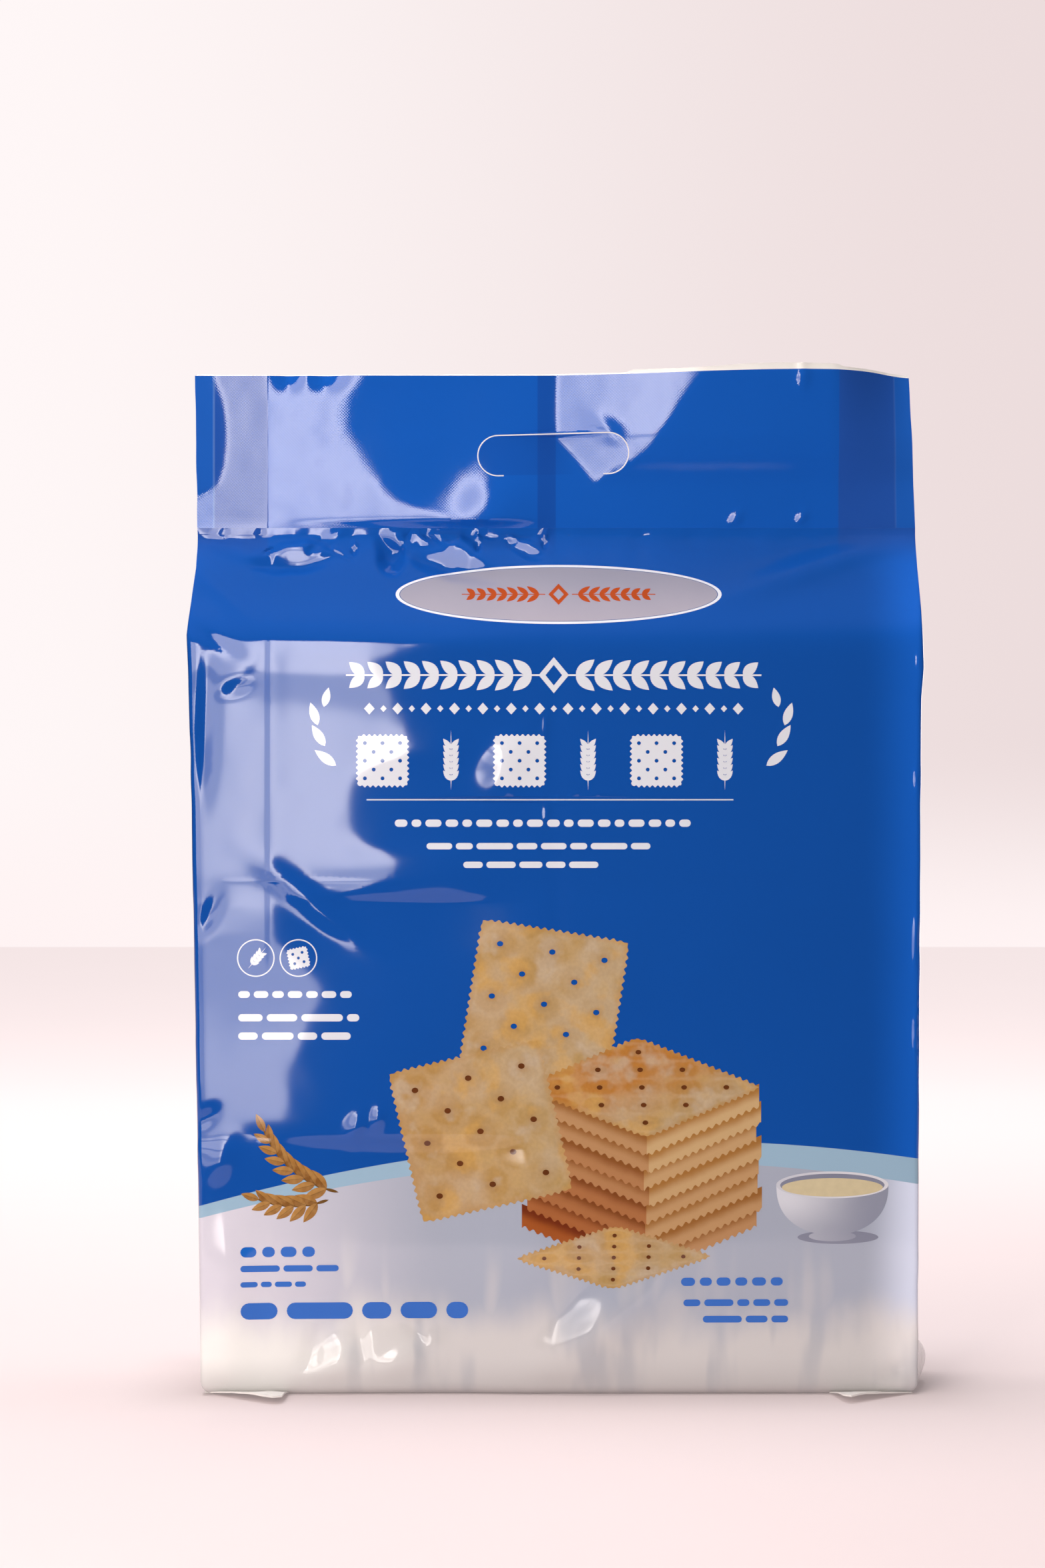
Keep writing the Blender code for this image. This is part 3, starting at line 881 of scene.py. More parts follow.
def plate(front, back, corners):
    """A closed plate from one flat triangulation: its places, its two sides' faces and its rim's faces."""
    count = len(front)
    edges = {}
    for triangle in corners.tolist():
        for start, end in zip(triangle, triangle[1:] + triangle[:1]):
            if edges.pop((end, start), None) is None:
                edges[(start, end)] = True
    sides = [tuple(triangle) for triangle in corners.tolist()]
    sides += [tuple(corner + count for corner in reversed(triangle)) for triangle in corners.tolist()]
    rim = [(end, start, start + count, end + count) for start, end in edges]
    return np.concatenate([front, back]), sides, rim


def strip_faces(rows, columns, reverse):
    """Quads over a grid of places listed row by row."""
    faces = []
    for row in range(rows - 1):
        for start in range(row * columns, row * columns + columns - 1):
            face = (start, start + 1, start + columns + 1, start + columns)
            faces.append(face[::-1] if reverse else face)
    return faces


# The body under the seal

def front_row(level):
    """The front film's columns along a row, closer together at both edges."""
    left, right = edges_at(level)
    first = [left + step for step in EDGE_COLUMNS]
    last = [right - step for step in reversed(EDGE_COLUMNS)]
    middle = np.linspace(first[-1], last[0], FRONT_COLUMNS - 2 * len(EDGE_COLUMNS) + 1)
    return grid_of(np.concatenate([first[:-1], middle, last[1:]]), [level])


def back_row(level):
    """The back film's columns along a row, with the steps of the fin seam in the middle."""
    left, right = edges_at(level)
    columns = list(np.linspace(left, right, BACK_COLUMNS + 1))
    centre = BACK_COLUMNS // 2
    seam_start = [BACK_SEAM_LEFT - BACK_SEAM_STEP, BACK_SEAM_LEFT]
    seam_end = [BACK_SEAM_RIGHT, BACK_SEAM_RIGHT + BACK_SEAM_STEP]
    return grid_of(columns[:centre - 1] + seam_start + seam_end + columns[centre + 1:], [level])


def front_pattern(levels, outlines):
    """The front panel's flat triangulation round the print's outlines."""
    border, inner = rim_and_inside([front_row(level) for level in levels])
    for start, end, low, high, across, up in FINE_ZONES:
        inner = [(x, height) for x, height in inner if not (start < x < end and low < height < high)]
        inner += grid_of(np.arange(start, end, across), np.arange(low, high, up))
    return triangulate(clear_of(inner, outlines), [border] + outlines)


def closed_face(ring, reverse):
    """One face over a ring of places."""
    face = tuple(range(len(ring)))
    return ring, [face[::-1] if reverse else face]


def build_body(levels, pattern):
    """The film bag below the seal, as one closed shell."""
    flat, corners, holders = pattern
    grid = [point for level in levels for point in back_row(level)]
    columns = len(grid) // len(levels)
    back = back_place(np.array(grid))
    parts = [(front_place(flat), corners.tolist()), (back, strip_faces(len(levels), columns, True))]

    lowest = []
    for side in (1, -1):
        rows = [gusset_row(level, side) for level in levels if level <= NOTCH_TOP + 1e-9]
        points = [point for row in rows for point in row]
        parts.append((points, strip_faces(len(rows), len(rows[0]), side < 0)))
        parts.append(closed_face(rows[-1], side < 0))
        lowest.append(rows[0])
    for side in (1, -1):
        wall = []
        for level in levels[-2:]:
            point = np.array([[edges_at(level)[1 if side > 0 else 0], level]])
            wall.append((front_place(point)[0], back_place(point)[0]))
        parts.append(closed_face([wall[0][0], wall[0][1], wall[1][1], wall[1][0]], side < 0))

    front_low = list(front_place(np.array(front_row(levels[0]))))
    front_top = list(front_place(np.array(front_row(levels[-1]))))
    base = front_low + lowest[0][1:-1] + list(back[:columns])[::-1] + lowest[1][1:-1][::-1]
    parts.append(closed_face(base, True))
    parts.append(closed_face(front_top + list(back[-columns:])[::-1], False))
    return join_parts(parts)


# Header and its carry slot

def arc(x, height, half_x, half_height, angles):
    """Points at angles round an oval."""
    return [(x + half_x * math.cos(angle), height + half_height * math.sin(angle)) for angle in angles]


def angles_from(first, pitch, count):
    """Angles in radians, from a first one and a pitch in degrees."""
    return [math.radians(first + pitch * step) for step in range(count)]


def moved(points, x, height, angle):
    """Points turned about the origin by an angle in degrees and moved to a place."""
    cosine, sine = math.cos(math.radians(angle)), math.sin(math.radians(angle))
    return [(x + a * cosine - b * sine, height + a * sine + b * cosine) for a, b in points]


def kerf_outline():
    """The thin gap along the slot's cut line, from one end of the flap's hinge round to the other."""
    radius = SLOT_WIDTH / 2
    centre = SLOT_LENGTH / 2 - radius
    line = [(-SLOT_HINGE_HALF, -radius), (-SLOT_HINGE_HALF - 0.001, -radius)]
    line += arc(-centre, 0.0, radius, radius, angles_from(270.0, -7.5, 25))
    line += arc(centre, 0.0, radius, radius, angles_from(90.0, -7.5, 25))
    line += [(SLOT_HINGE_HALF + 0.001, -radius), (SLOT_HINGE_HALF, -radius)]
    outer = []
    inner = []
    for along, up in line:
        aside = along - max(-centre, min(centre, along))
        share = SLOT_KERF / 2 / math.hypot(aside, up)
        outer.append((along + aside * share, up + up * share))
        inner.append((along - aside * share, up - up * share))
    return moved(outer + inner[::-1], 0.0, SLOT_HEIGHT, SLOT_TILT)


def build_header():
    """The sealed header as a closed plate with the slot's thin cut through it."""
    rows = []
    for share in np.linspace(0.0, 1.0, HEADER_ROWS):
        x_values = np.linspace(*edges_at(SEAL_HEIGHT + share * HEADER_HEIGHT), FRONT_COLUMNS + 1)
        heights = SEAL_HEIGHT + share * (header_top(x_values) - SEAL_HEIGHT)
        rows.append(list(zip(x_values.tolist(), heights.tolist())))
    border, inner = rim_and_inside(rows)
    kerf = kerf_outline()
    flat, corners, holders = triangulate(clear_of(inner, [kerf]), [border, kerf])
    places, sides, rim = plate(header_place(flat, -1), header_place(flat, 1), corners[holders == 0])
    return places, sides + rim, [0] * len(sides) + [1] * len(rim)


# Loose film: the folded ears under the front edge, the back layer's lip and the fin seam

def ear_height(x, y, side, upper):
    """Height of an ear's film: flat under the bag, curled and a little crumpled towards its tip."""
    out = np.maximum(0.0, -0.03 - y) / 0.026
    curl = EAR_CURL * out**1.6 + EAR_ARCH * np.sin(math.pi * np.clip(out, 0.0, 1.0))
    crumple = EAR_CRUMPLE * soft_noise(x, y, 0.006, 31 + side) * smooth_step(0.05, 0.4, out)
    from_fold = x + side * 0.112 + 0.35 * side * (y + 0.056)
    fold = EAR_FOLD * bump(0.0, 0.0035, from_fold) * smooth_step(0.25, 0.8, out)
    gap = np.minimum(EAR_THICKNESS, 0.0005 + 0.0003 * out)
    return EAR_CLEARANCE + curl + crumple + fold + (gap if upper else 0.0)


def build_ear(outline, side):
    """A thin folded ear as a closed plate."""
    xs, ys = zip(*outline)
    along, across = np.arange(min(xs), max(xs), EAR_PITCH), np.arange(min(ys), max(ys), EAR_PITCH)
    grid = [(x, y) for x in along for y in across]
    border = split_sides(outline, 1.2 * EAR_PITCH, round)
    flat, corners, holders = triangulate(clear_of(grid, [border], 0.6 * EAR_PITCH), [border])
    x, y = flat[:, 0], flat[:, 1]
    upper, lower = (np.stack([x, y, ear_height(x, y, side, over)], axis=-1) for over in (True, False))
    places, sides, rim = plate(upper, lower, corners)
    return places, sides + rim


def lip_rise(x):
    """How far the back layer's unprinted film stands above the front layer's top edge."""
    uneven = LIP_WAVE * soft_noise(x, 0.0 * x, 0.012, 41)
    step = 0.0011 * smooth_step(0.03, 0.034, x) - 0.0009 * smooth_step(0.118, 0.122, x)
    return LIP_RISE + uneven + step + LIP_CROWN * bump(0.098, 0.03, x)


def build_lip():
    """The back layer's white top edge, as a thin closed strip."""
    left, right = edges_at(SEAL_HEIGHT + HEADER_HEIGHT)
    x = np.linspace(left + LIP_MARGIN, right - LIP_MARGIN, LIP_COLUMNS)
    low, high = header_top(x) - LIP_DEPTH, header_top(x) + lip_rise(x)
    rows = []
    for top, back in ((low, LIP_FRONT), (low, LIP_BACK), (high, LIP_BACK), (high, LIP_FRONT)):
        behind = back + seam_rise(x) - header_depth(x, np.minimum(top, header_top(x)))
        rows.append(np.stack([x, behind, top], axis=-1))
    count = len(x)
    faces = []
    for row in range(4):
        here, after = row * count, (row + 1) % 4 * count
        faces += [(after + i, after + i + 1, here + i + 1, here + i) for i in range(count - 1)]
    faces += [(3 * count, 2 * count, count, 0), (count - 1, 2 * count - 1, 3 * count - 1, 4 * count - 1)]
    return np.concatenate(rows), faces


def build_fin_seam():
    """The flap of the seam down the back: fixed along one side, loose and a little wavy along the other."""
    columns = SEAM_FIXED + np.linspace(0.0, 1.0, 9) * (SEAM_FREE - SEAM_FIXED)
    levels = np.arange(SEAM_LOW, SEAM_TOP, SEAM_PITCH)
    border, inner = rim_and_inside([grid_of(columns, [level]) for level in levels])
    flat, corners, holders = triangulate(inner, [border])
    x, height = flat[:, 0], flat[:, 1]
    loose = (SEAM_FIXED - x) / (SEAM_FIXED - SEAM_FREE)
    lift = SEAM_GAP + loose**2 * (SEAM_LIFT + SEAM_WAVE * soft_noise(0.0 * x, height, 0.019, 81))
    depth = back_depth(np.maximum(x, BACK_SEAM_LEFT), height) + lift
    outer = panel_place(x, height, depth + SEAM_THICKNESS, 1)
    places, sides, rim = plate(outer, panel_place(x, height, depth, 1), corners[:, ::-1])
    return places, sides + rim


# Print: flat outlines on the film's pattern, each with its ink; a later one covers an earlier one

def draw(prints, outline, ink, place=None, shade=0.5):
    """Add an outline in an ink; a figure also has the rule of its own places, and a shade."""
    prints.append((outline, ink, place, shade))


def ellipse(x, height, half_x, half_height, steps=48):
    """An oval outline."""
    return arc(x, height, half_x, half_height, [2.0 * math.pi * step / steps for step in range(steps)])


def leaf(x, height, length, width, angle, steps=9):
    """A pointed leaf from its foot at a place, along an angle in degrees."""
    shares = [step / steps for step in range(1, steps)]
    side = [(length * share, 0.5 * width * math.sin(math.pi * share**0.85) ** 0.9) for share in shares]
    return moved([(0.0, 0.0)] + [(a, -b) for a, b in side] + [(length, 0.0)] + side[::-1], x, height, angle)


def bar(start, end, height, thick):
    """A level bar with round ends."""
    radius = 0.5 * thick
    outline = arc(end - radius, height, radius, radius, angles_from(-90.0, 22.5, 9))
    return outline + arc(start + radius, height, radius, radius, angles_from(90.0, 22.5, 9))


def box(start, end, low, high):
    """A plain upright rectangle."""
    return [(start, low), (end, low), (end, high), (start, high)]


def rounded(start, end, low, high, radius):
    """An upright rectangle with round corners."""
    outline = []
    for x, height, first in ((end - radius, low + radius, 270.0), (end - radius, high - radius, 0.0),
                             (start + radius, high - radius, 90.0), (start + radius, low + radius, 180.0)):
        outline += arc(x, height, radius, radius, angles_from(first, 15.0, 7))
    return outline


def diamond(x, height, half_x, half_height):
    """A lozenge."""
    return [(x - half_x, height), (x, height - half_height), (x + half_x, height), (x, height + half_height)]


def scalloped(corners, waves, depth):
    """The outline through corners, with small waves along each side."""
    outline = []
    for index, (start, end) in enumerate(zip(corners, corners[1:] + corners[:1])):
        size = math.dist(start, end)
        normal = ((end[1] - start[1]) / size, (start[0] - end[0]) / size)
        steps = waves * 6
        for step in range(steps):
            share = step / steps
            ends = min(1.0, 12.0 * min(share, 1.0 - share))
            wave = depth * ends * (0.5 + 0.5 * math.sin(2.0 * math.pi * waves * share + index))
            x, height = between(start, end, share)
            outline.append((x + wave * normal[0], height + wave * normal[1]))
    return outline


def square(x, height, side, angle):
    """The corners of a square about a place, counter-clockwise from its lower left."""
    half = 0.5 * side
    return moved(box(-half, half, -half, half), x, height, angle)


def frame_on(origin, along_end, up_end):
    """A rule that turns places into shares along two sides from an origin."""
    origin = np.array(origin)
    inverse = np.linalg.inv(np.array([np.array(along_end) - origin, np.array(up_end) - origin]).T)
    return lambda flat: (flat - origin) @ inverse.T


def within(corners, along, up):
    """The place at shares along a slanted box's sides."""
    origin, first, last = corners[0], corners[1], corners[3]
    return (origin[0] + along * (first[0] - origin[0]) + up * (last[0] - origin[0]),
            origin[1] + along * (first[1] - origin[1]) + up * (last[1] - origin[1]))


def print_holes(prints, corners, shares, half_x, half_height, steps, ink, place=None, shade=0.5):
    """The holes of a cracker at shares along its sides."""
    for along, up in shares:
        x, height = within(corners, along, up)
        draw(prints, ellipse(x, height, half_x, half_height, steps), ink, place, shade)


def print_cracker(prints, corners, waves, hole_ink, shade):
    """A square soda cracker with thirteen holes, seen at a slant."""
    place = frame_on(corners[0], corners[1], corners[3])
    draw(prints, scalloped(corners, waves, CRACKER_EDGE_WAVE), "cracker", place, shade)
    wide = HOLE_REACH * math.dist(corners[0], corners[1])
    tall = HOLE_REACH * math.dist(corners[0], corners[3]) * 0.85
    print_holes(prints, corners, HOLES, wide, tall, 14, hole_ink, place, shade)


def print_stack(prints, corners, layers, step):
    """A stack of crackers: wavy layers under a slanted top face, browner towards the bottom."""
    left, front, right = corners[:3]
    steps = LAYER_WAVES * 6
    for layer in reversed(range(layers)):
        drop = layer * step
        slide = 0.0012 * math.sin(2.4 * layer)
        for start, end, low_tone, high_tone in ((left, front, 0.42, 0.55), (front, right, 0.04, 0.4)):
            low = []
            for index in range(steps + 1):
                x, height = between(start, end, index / steps)
                phase = 2.0 * math.pi * LAYER_WAVES * index / steps + 2.3 * layer + 4.0 * low_tone
                low.append((x + slide, height - drop - step + 0.0007 * math.sin(phase) - 0.0008))
            first, last = ((x + slide, height - drop) for x, height in (start, end))
            lower_first, lower_last = ((x, height - step) for x, height in (first, last))
            hidden = [(x, height + LAYER_OVERLAP) for x, height in (last, first)]
            shade = min(1.0, low_tone + high_tone * layer / (layers - 1) + 0.06 * math.sin(3.7 * layer))
            draw(prints, low + hidden, "layer", frame_on(lower_first, lower_last, first), shade)
    print_cracker(prints, corners, 18, "hole", 1.3)


def print_branch(prints, x, height, angle, bend, pairs, size):
    """A golden branch with paired leaves, bending by an angle in degrees from one leaf pair to the next."""
    stem = [(x, height)]
    turns = [angle]
    for index in range(pairs):
        turns.append(turns[-1] + bend)
        run = math.radians(turns[-1])
        stem.append((stem[-1][0] + 0.62 * size * math.cos(run), stem[-1][1] + 0.62 * size * math.sin(run)))
    for start, end in zip(stem, stem[1:]):
        run = math.degrees(math.atan2(end[1] - start[1], end[0] - start[0]))
        draw(prints, leaf(*start, 0.8 * size, 0.0013, run, 5), "stem")
    for index in range(1, pairs):
        for side in (-1, 1):
            turn = turns[index] + side * (38.0 - 1.5 * index)
            print_leaf(prints, stem[index], size * (1.3 - 0.05 * index), 0.42, turn, 0.5 + 0.35 * side)
    print_leaf(prints, stem[-1], size, 0.4, turns[-1], 0.5)


def print_leaf(prints, root, size, width, angle, shade):
    """A golden leaf, with its own places along and across it."""
    cosine, sine = math.cos(math.radians(angle)), math.sin(math.radians(angle))
    tip = (root[0] + size * cosine, root[1] + size * sine)
    aside = (root[0] - size * sine, root[1] + size * cosine)
    draw(prints, leaf(*root, size, width * size, angle), "leaf", frame_on(root, tip, aside), shade)


def print_bowl(prints, x, height, half, tall):
    """A small white bowl of dip, seen from a little above."""
    place = frame_on((x - half, height - tall), (x + half, height - tall), (x - half, height))
    draw(prints, ellipse(x + 0.1 * half, height - 1.02 * tall, 0.72 * half, 0.13 * tall), "shade")
    draw(prints, ellipse(x, height - tall, 0.42 * half, 0.1 * tall, 40), "china", place, 0.9)
    side = []
    for step in range(49):
        angle = math.pi + math.pi * step / 48
        depth = max(0.0, -math.sin(angle))
        side.append((x + half * math.cos(angle) * (1.0 - 0.06 * depth), height - 0.98 * tall * depth**0.72))
    draw(prints, side, "china", place)
    draw(prints, ellipse(x, height, half, 0.24 * half, 72), "china", place, 0.0)
    draw(prints, ellipse(x, height - 0.006 * half, 0.93 * half, 0.205 * half, 72), "shade")
    draw(prints, ellipse(x, height - 0.045 * half, 0.9 * half, 0.165 * half, 72), "dip")


def print_leaf_row(prints, x, height, side, count, start, pitch, length, shorter, width, spread, ink):
    """Pairs of leaves along one side of an ornament, on a stalk that runs out from its middle."""
    for index in range(count):
        for lift in (-1, 1):
            angle = 90.0 - side * (90.0 - lift * spread)
            root = x + side * (start + pitch * index)
            draw(prints, leaf(root, height, length - shorter * index, width, angle), ink)


def print_stalk(prints, x, height, side, start, end, half, ink):
    """A thin level line on one side of an ornament."""
    first, last = sorted((x + side * start, x + side * end))
    draw(prints, box(first, last, height - half, height + half), ink)


def print_badge(prints):
    """A bare oval badge with a thin inner line and a small pair of ears in it."""
    x, height = BADGE_X, BADGE_HEIGHT
    draw(prints, ellipse(x, height, 0.0673, 0.0127, 120), "white")
    draw(prints, ellipse(x, height, 0.0658, 0.0117, 120), "navy")
    draw(prints, ellipse(x, height, 0.0655, 0.0115, 120), "badge")
    for side in (-1, 1):
        print_leaf_row(prints, x, height, side, 7, 0.008, 0.0044, 0.0062, 0.0003, 0.0021, 34.0, "rust")
        print_stalk(prints, x, height, side, 0.0055, 0.04, 0.0002, "rust")
    draw(prints, diamond(x, height, 0.0042, 0.0046), "rust")
    draw(prints, diamond(x, height, 0.0022, 0.0024), "badge")


def print_garland(prints):
    """The wide ornament under the badge: a leafy garland, a dotted line and a row of small pictures."""
    height = GARLAND_HEIGHT
    for side in (-1, 1):
        print_leaf_row(prints, 0.0, height, side, 10, 0.009, 0.0076, 0.01, 0.0002, 0.0044, 40.0, "white")
        print_stalk(prints, 0.0, height, side, 0.005, 0.085, 0.00035, "white")
    draw(prints, diamond(0.0, height, 0.0062, 0.0074), "white")
    draw(prints, diamond(0.0, height, 0.0034, 0.0042), "bare")
    for index in range(-13, 14):
        size = 0.0022 if index % 2 else 0.0013
        draw(prints, diamond(0.0058 * index, 0.2808, size, size * 1.1), "white")
    for index in range(6):
        x = -0.07 + 0.028 * index
        if index % 2 == 0:
            corners = square(x, 0.2595, 0.02, 0.0)
            draw(prints, scalloped(corners, 9, 0.0009), "white")
            print_holes(prints, corners, HOLES, 0.0008, 0.0008, 12, "bare")
        else:
            print_small_ear(prints, x, 0.2475, 90.0, 6, 0.0052)


def print_small_ear(prints, x, height, angle, pairs, size):
    """A plain white wheat ear."""
    draw(prints, leaf(x, height, size * (1.6 + 0.52 * pairs), size * 0.11, angle, 6), "white")
    for index in range(pairs):
        (root,) = moved([(size * (0.75 + 0.5 * index), 0.0)], x, height, angle)
        for side in (-1, 1):
            draw(prints, leaf(*root, size, size * 0.42, angle + side * 38.0), "white")


def print_sprigs(prints):
    """A leafy sprig on each side of the ornament."""
    for side in (-1, 1):
        for x, height, length, width, angle in SPRIG_LEAVES:
            turn = angle if side > 0 else 180.0 - angle
            draw(prints, leaf(side * x - 0.001, height, length, width, turn), "white")


def print_bars(prints):
    """Rows of short bars where the small print was."""
    draw(prints, box(-0.0765, 0.0735, 0.2433, 0.2438), "white")
    for start, end, height, thick, widths, ink in BAR_ROWS:
        place = start
        index = 0
        while place < end - thick:
            stop = min(end, place + widths[index % len(widths)])
            if stop - place > thick * 1.1:
                draw(prints, bar(place, stop, height, thick), ink)
            place = stop + 0.55 * thick
            index += 1


def print_rings(prints):
    """Two ringed pictures: a wheat ear and a small cracker."""
    for x in (LEFT_RING_X, RIGHT_RING_X):
        draw(prints, ellipse(x, RING_HEIGHT, 0.0077, 0.0077, 64), "white")
        draw(prints, ellipse(x, RING_HEIGHT, 0.0072, 0.0072, 64), "bare")
    print_small_ear(prints, -0.125, 0.1745, 50.0, 4, 0.0032)
    corners = square(RIGHT_RING_X, RING_HEIGHT, 0.0078, 12.0)
    draw(prints, scalloped(corners, 6, 0.0005), "white")
    shares = ((0.25, 0.25), (0.75, 0.25), (0.5, 0.5), (0.25, 0.75), (0.75, 0.75))
    print_holes(prints, corners, shares, 0.0006, 0.0006, 10, "bare")


def back_prints():
    """The back's print, guessed: a pale panel with ruled rows, and rows of short bars beside it."""
    prints = []
    draw(prints, rounded(0.018, 0.127, 0.148, 0.288, 0.004), "white")
    draw(prints, rounded(0.0225, 0.1225, 0.273, 0.283, 0.0015), "blue")
    for row in range(10):
        height = 0.2655 - 0.0118 * row
        draw(prints, box(0.0225, 0.1225, height - 0.00025, height + 0.00025), "blue")
        if row < 9:
            length = 0.018 + 0.006 * ((3 * row) % 4)
            for start, end in ((0.025, 0.025 + length), (0.09, 0.098), (0.109, 0.119)):
                draw(prints, bar(start, end, height - 0.0059, 0.003), "blue")
    for row in range(14):
        height = 0.2835 - 0.0085 * row - 0.005 * (row // 4)
        start = -0.02
        for index in range(5):
            stop = max(-0.12, start - (0.012 + 0.005 * ((row + 2 * index) % 4)))
            if start - stop > 0.005 and not (row % 4 == 3 and index > 2):
                draw(prints, bar(stop, start, height, 0.0028), "white")
            start = stop - 0.002
    return prints


def back_pattern(outlines):
    """The flat triangulation of the back's print."""
    pitch = BACK_PRINT_PITCH
    outlines = [split_sides(outline, 0.7 * pitch) for outline in outlines]
    points = [point for outline in outlines for point in outline]
    left, low = (np.min(points, axis=0) - pitch).tolist()
    right, high = (np.max(points, axis=0) + pitch).tolist()
    outlines = [box(left, right, low, high)] + outlines
    grid = grid_of(np.arange(left, right, pitch), np.arange(low, high, pitch))
    return triangulate(clear_of(grid, outlines), outlines)


def front_prints():
    """Every outline printed on the front, from the lowest to the topmost."""
    prints = []
    print_badge(prints)
    print_garland(prints)
    print_sprigs(prints)
    print_bars(prints)
    print_rings(prints)
    print_bowl(prints, 0.114, 0.086, 0.023, 0.021)
    print_branch(prints, -0.088, 0.083, 172.0, -7.0, 8, 0.0082)
    print_branch(prints, -0.092, 0.08, 204.0, -7.0, 6, 0.0078)
    print_cracker(prints, square(-0.004, 0.16, 0.06, -9.0), 19, "bare", 0.15)
    print_stack(prints, [(-0.012, 0.126), (0.038, 0.106), (0.084, 0.126), (0.034, 0.146)], 8, 0.007)
    print_cracker(prints, square(-0.03, 0.108, 0.062, 13.0), 20, "hole", 0.25)
    print_cracker(prints, [(-0.015, 0.056), (0.024, 0.044), (0.064, 0.057), (0.025, 0.069)], 17, "hole", 0.2)
    return prints


def film_normals(surface, flat, side):
    """Outward normals of the front (-1) or back (1) film at flat places."""
    step = 0.00015
    along = surface(flat + [step, 0.0]) - surface(flat - [step, 0.0])
    up = surface(flat + [0.0, step]) - surface(flat - [0.0, step])
    normals = -side * np.cross(along, up)
    return normals / np.linalg.norm(normals, axis=1, keepdims=True)


def add_print(name, inks, prints, pattern, materials, side):
    """The triangles of a piece's inks, lifted just off the film."""
    flat, corners, holders = pattern
    ink_of = [None] + [ink for outline, ink, place, shade in prints]
    chosen = [index for index, holder in enumerate(holders) if ink_of[holder] in inks]
    used, joined = np.unique(corners[chosen], return_inverse=True)
    spots = flat[used]
    surface = back_place if side > 0 else front_place
    normals = film_normals(surface, spots, side)
    places = surface(spots) + (BACK_PRINT_LIFT if side > 0 else PRINT_LIFT) * normals
    faces = joined.reshape(-1, 3)[:, ::-side].tolist()
    marks = [inks.index(ink_of[holders[index]]) for index in chosen]
    piece = add_piece(name, places, faces, [materials[ink] for ink in inks], marks)
    data = piece.data
    shares = np.zeros((len(data.loops), 2))
    tones = np.zeros(len(faces))
    for face, index in enumerate(chosen):
        outline, ink, place, shade = prints[holders[index] - 1]
        tones[face] = shade
        if place is not None:
            loops = data.polygons[face].loop_indices
            shares[loops] = place(spots[[data.loops[loop].vertex_index for loop in loops]])
    data.uv_layers.new(name="Figure").data.foreach_set("uv", shares.reshape(-1))
    data.attributes.new("tone", "FLOAT", "FACE").data.foreach_set("value", tones)
    data.normals_split_custom_set_from_vertices([tuple(normal) for normal in normals])
    return piece


# Shader values and materials

class Value:
    """A number, colour or place in a material; arithmetic with it makes further nodes."""

    def __init__(self, socket):
        self.socket = socket
        self.tree = socket.id_data

    def __add__(self, other):
        return calc("ADD", self, other)

    def __sub__(self, other):
        return calc("SUBTRACT", self, other)

    def __rsub__(self, other):
        return calc("SUBTRACT", other, self)

    def __mul__(self, other):
        return calc("MULTIPLY", self, other)

    __radd__ = __add__
    __rmul__ = __mul__


class Spot:
    """The place that a material is asked about, with its three parts."""

    def __init__(self, tree):
        self.tree = tree
        self.place = Value(tree.nodes.new("ShaderNodeTexCoord").outputs["Object"])
        self.x, self.y, self.height = parts_of(self.place)


def feed(socket, value):
    """Link a shader value to a socket, or set the socket to a number or a colour."""
    if isinstance(value, Value):
        value.tree.links.new(value.socket, socket)
    else:
        socket.default_value = (*value, 1.0) if isinstance(value, tuple) else value


def new_node(kind, inputs, **settings):
    """A node in the tree of the shader values that it is fed with."""
    tree = next(value.tree for value in inputs.values() if isinstance(value, Value))
    node = tree.nodes.new("ShaderNode" + kind)
    for name, setting in settings.items():
        setattr(node, name, setting)
    for place, value in inputs.items():
        feed(node.inputs[place], value)
    return node


def parts_of(place):
    """The three parts of a place."""
    return [Value(output) for output in new_node("SeparateXYZ", {0: place}).outputs]


def calc(operation, first, second=0.0, third=0.0):
    """A math node."""
    return Value(new_node("Math", {0: first, 1: second, 2: third}, operation=operation).outputs[0])


def length_of(first, second):
    """The length of a step with two parts at right angles."""
    return calc("SQRT", first * first + second * second)


def ramp(value, start, end, low=0.0, high=1.0):
    """A value remapped from start..end to low..high, smoothly and clamped."""
    inputs = {"Value": value, "From Min": start, "From Max": end, "To Min": low, "To Max": high}
    return Value(new_node("MapRange", inputs, interpolation_type="SMOOTHSTEP").outputs[0])


def step_at(value, place, half):
    """A soft step from 0 to 1 about a place; it goes from 1 to 0 where half is negative."""
    return ramp(value, place - half, place + half)


def stripe(value, reach, full):
    """A soft stripe about 0, whole up to full and gone at reach."""
    return ramp(value, -reach, -full) * ramp(value, reach, full)


def mix(share, first, second, blend="MIX"):
    """A colour between two colours."""
    inputs = {0: share, 6: first, 7: second}
    return Value(new_node("Mix", inputs, data_type="RGBA", blend_type=blend).outputs[2])


def covered(colour, *layers):
    """A colour under layers, each given by its share and its colour."""
    for share, above in layers:
        colour = mix(share, colour, above)
    return colour


def noise(place, scale, detail=3.0, upright=1.0):
    """Noise of about 0 to 1 over places; it is drawn out upwards where upright is below 1."""
    if upright < 1.0:
        place = Value(new_node("Mapping", {"Vector": place, "Scale": Vector((1.0, 1.0, upright))}).outputs[0])
    return Value(new_node("TexNoise", {"Vector": place, "Scale": scale, "Detail": detail}).outputs["Fac"])


def bumped(height, depth):
    """The normal of a surface with a fine relief of a depth in metres."""
    return Value(new_node("Bump", {"Strength": 1.0, "Distance": depth, "Height": height}).outputs[0])


def scaled(colour, share):
    """A colour made darker or brighter."""
    return tuple(min(1.0, part * share) for part in colour)


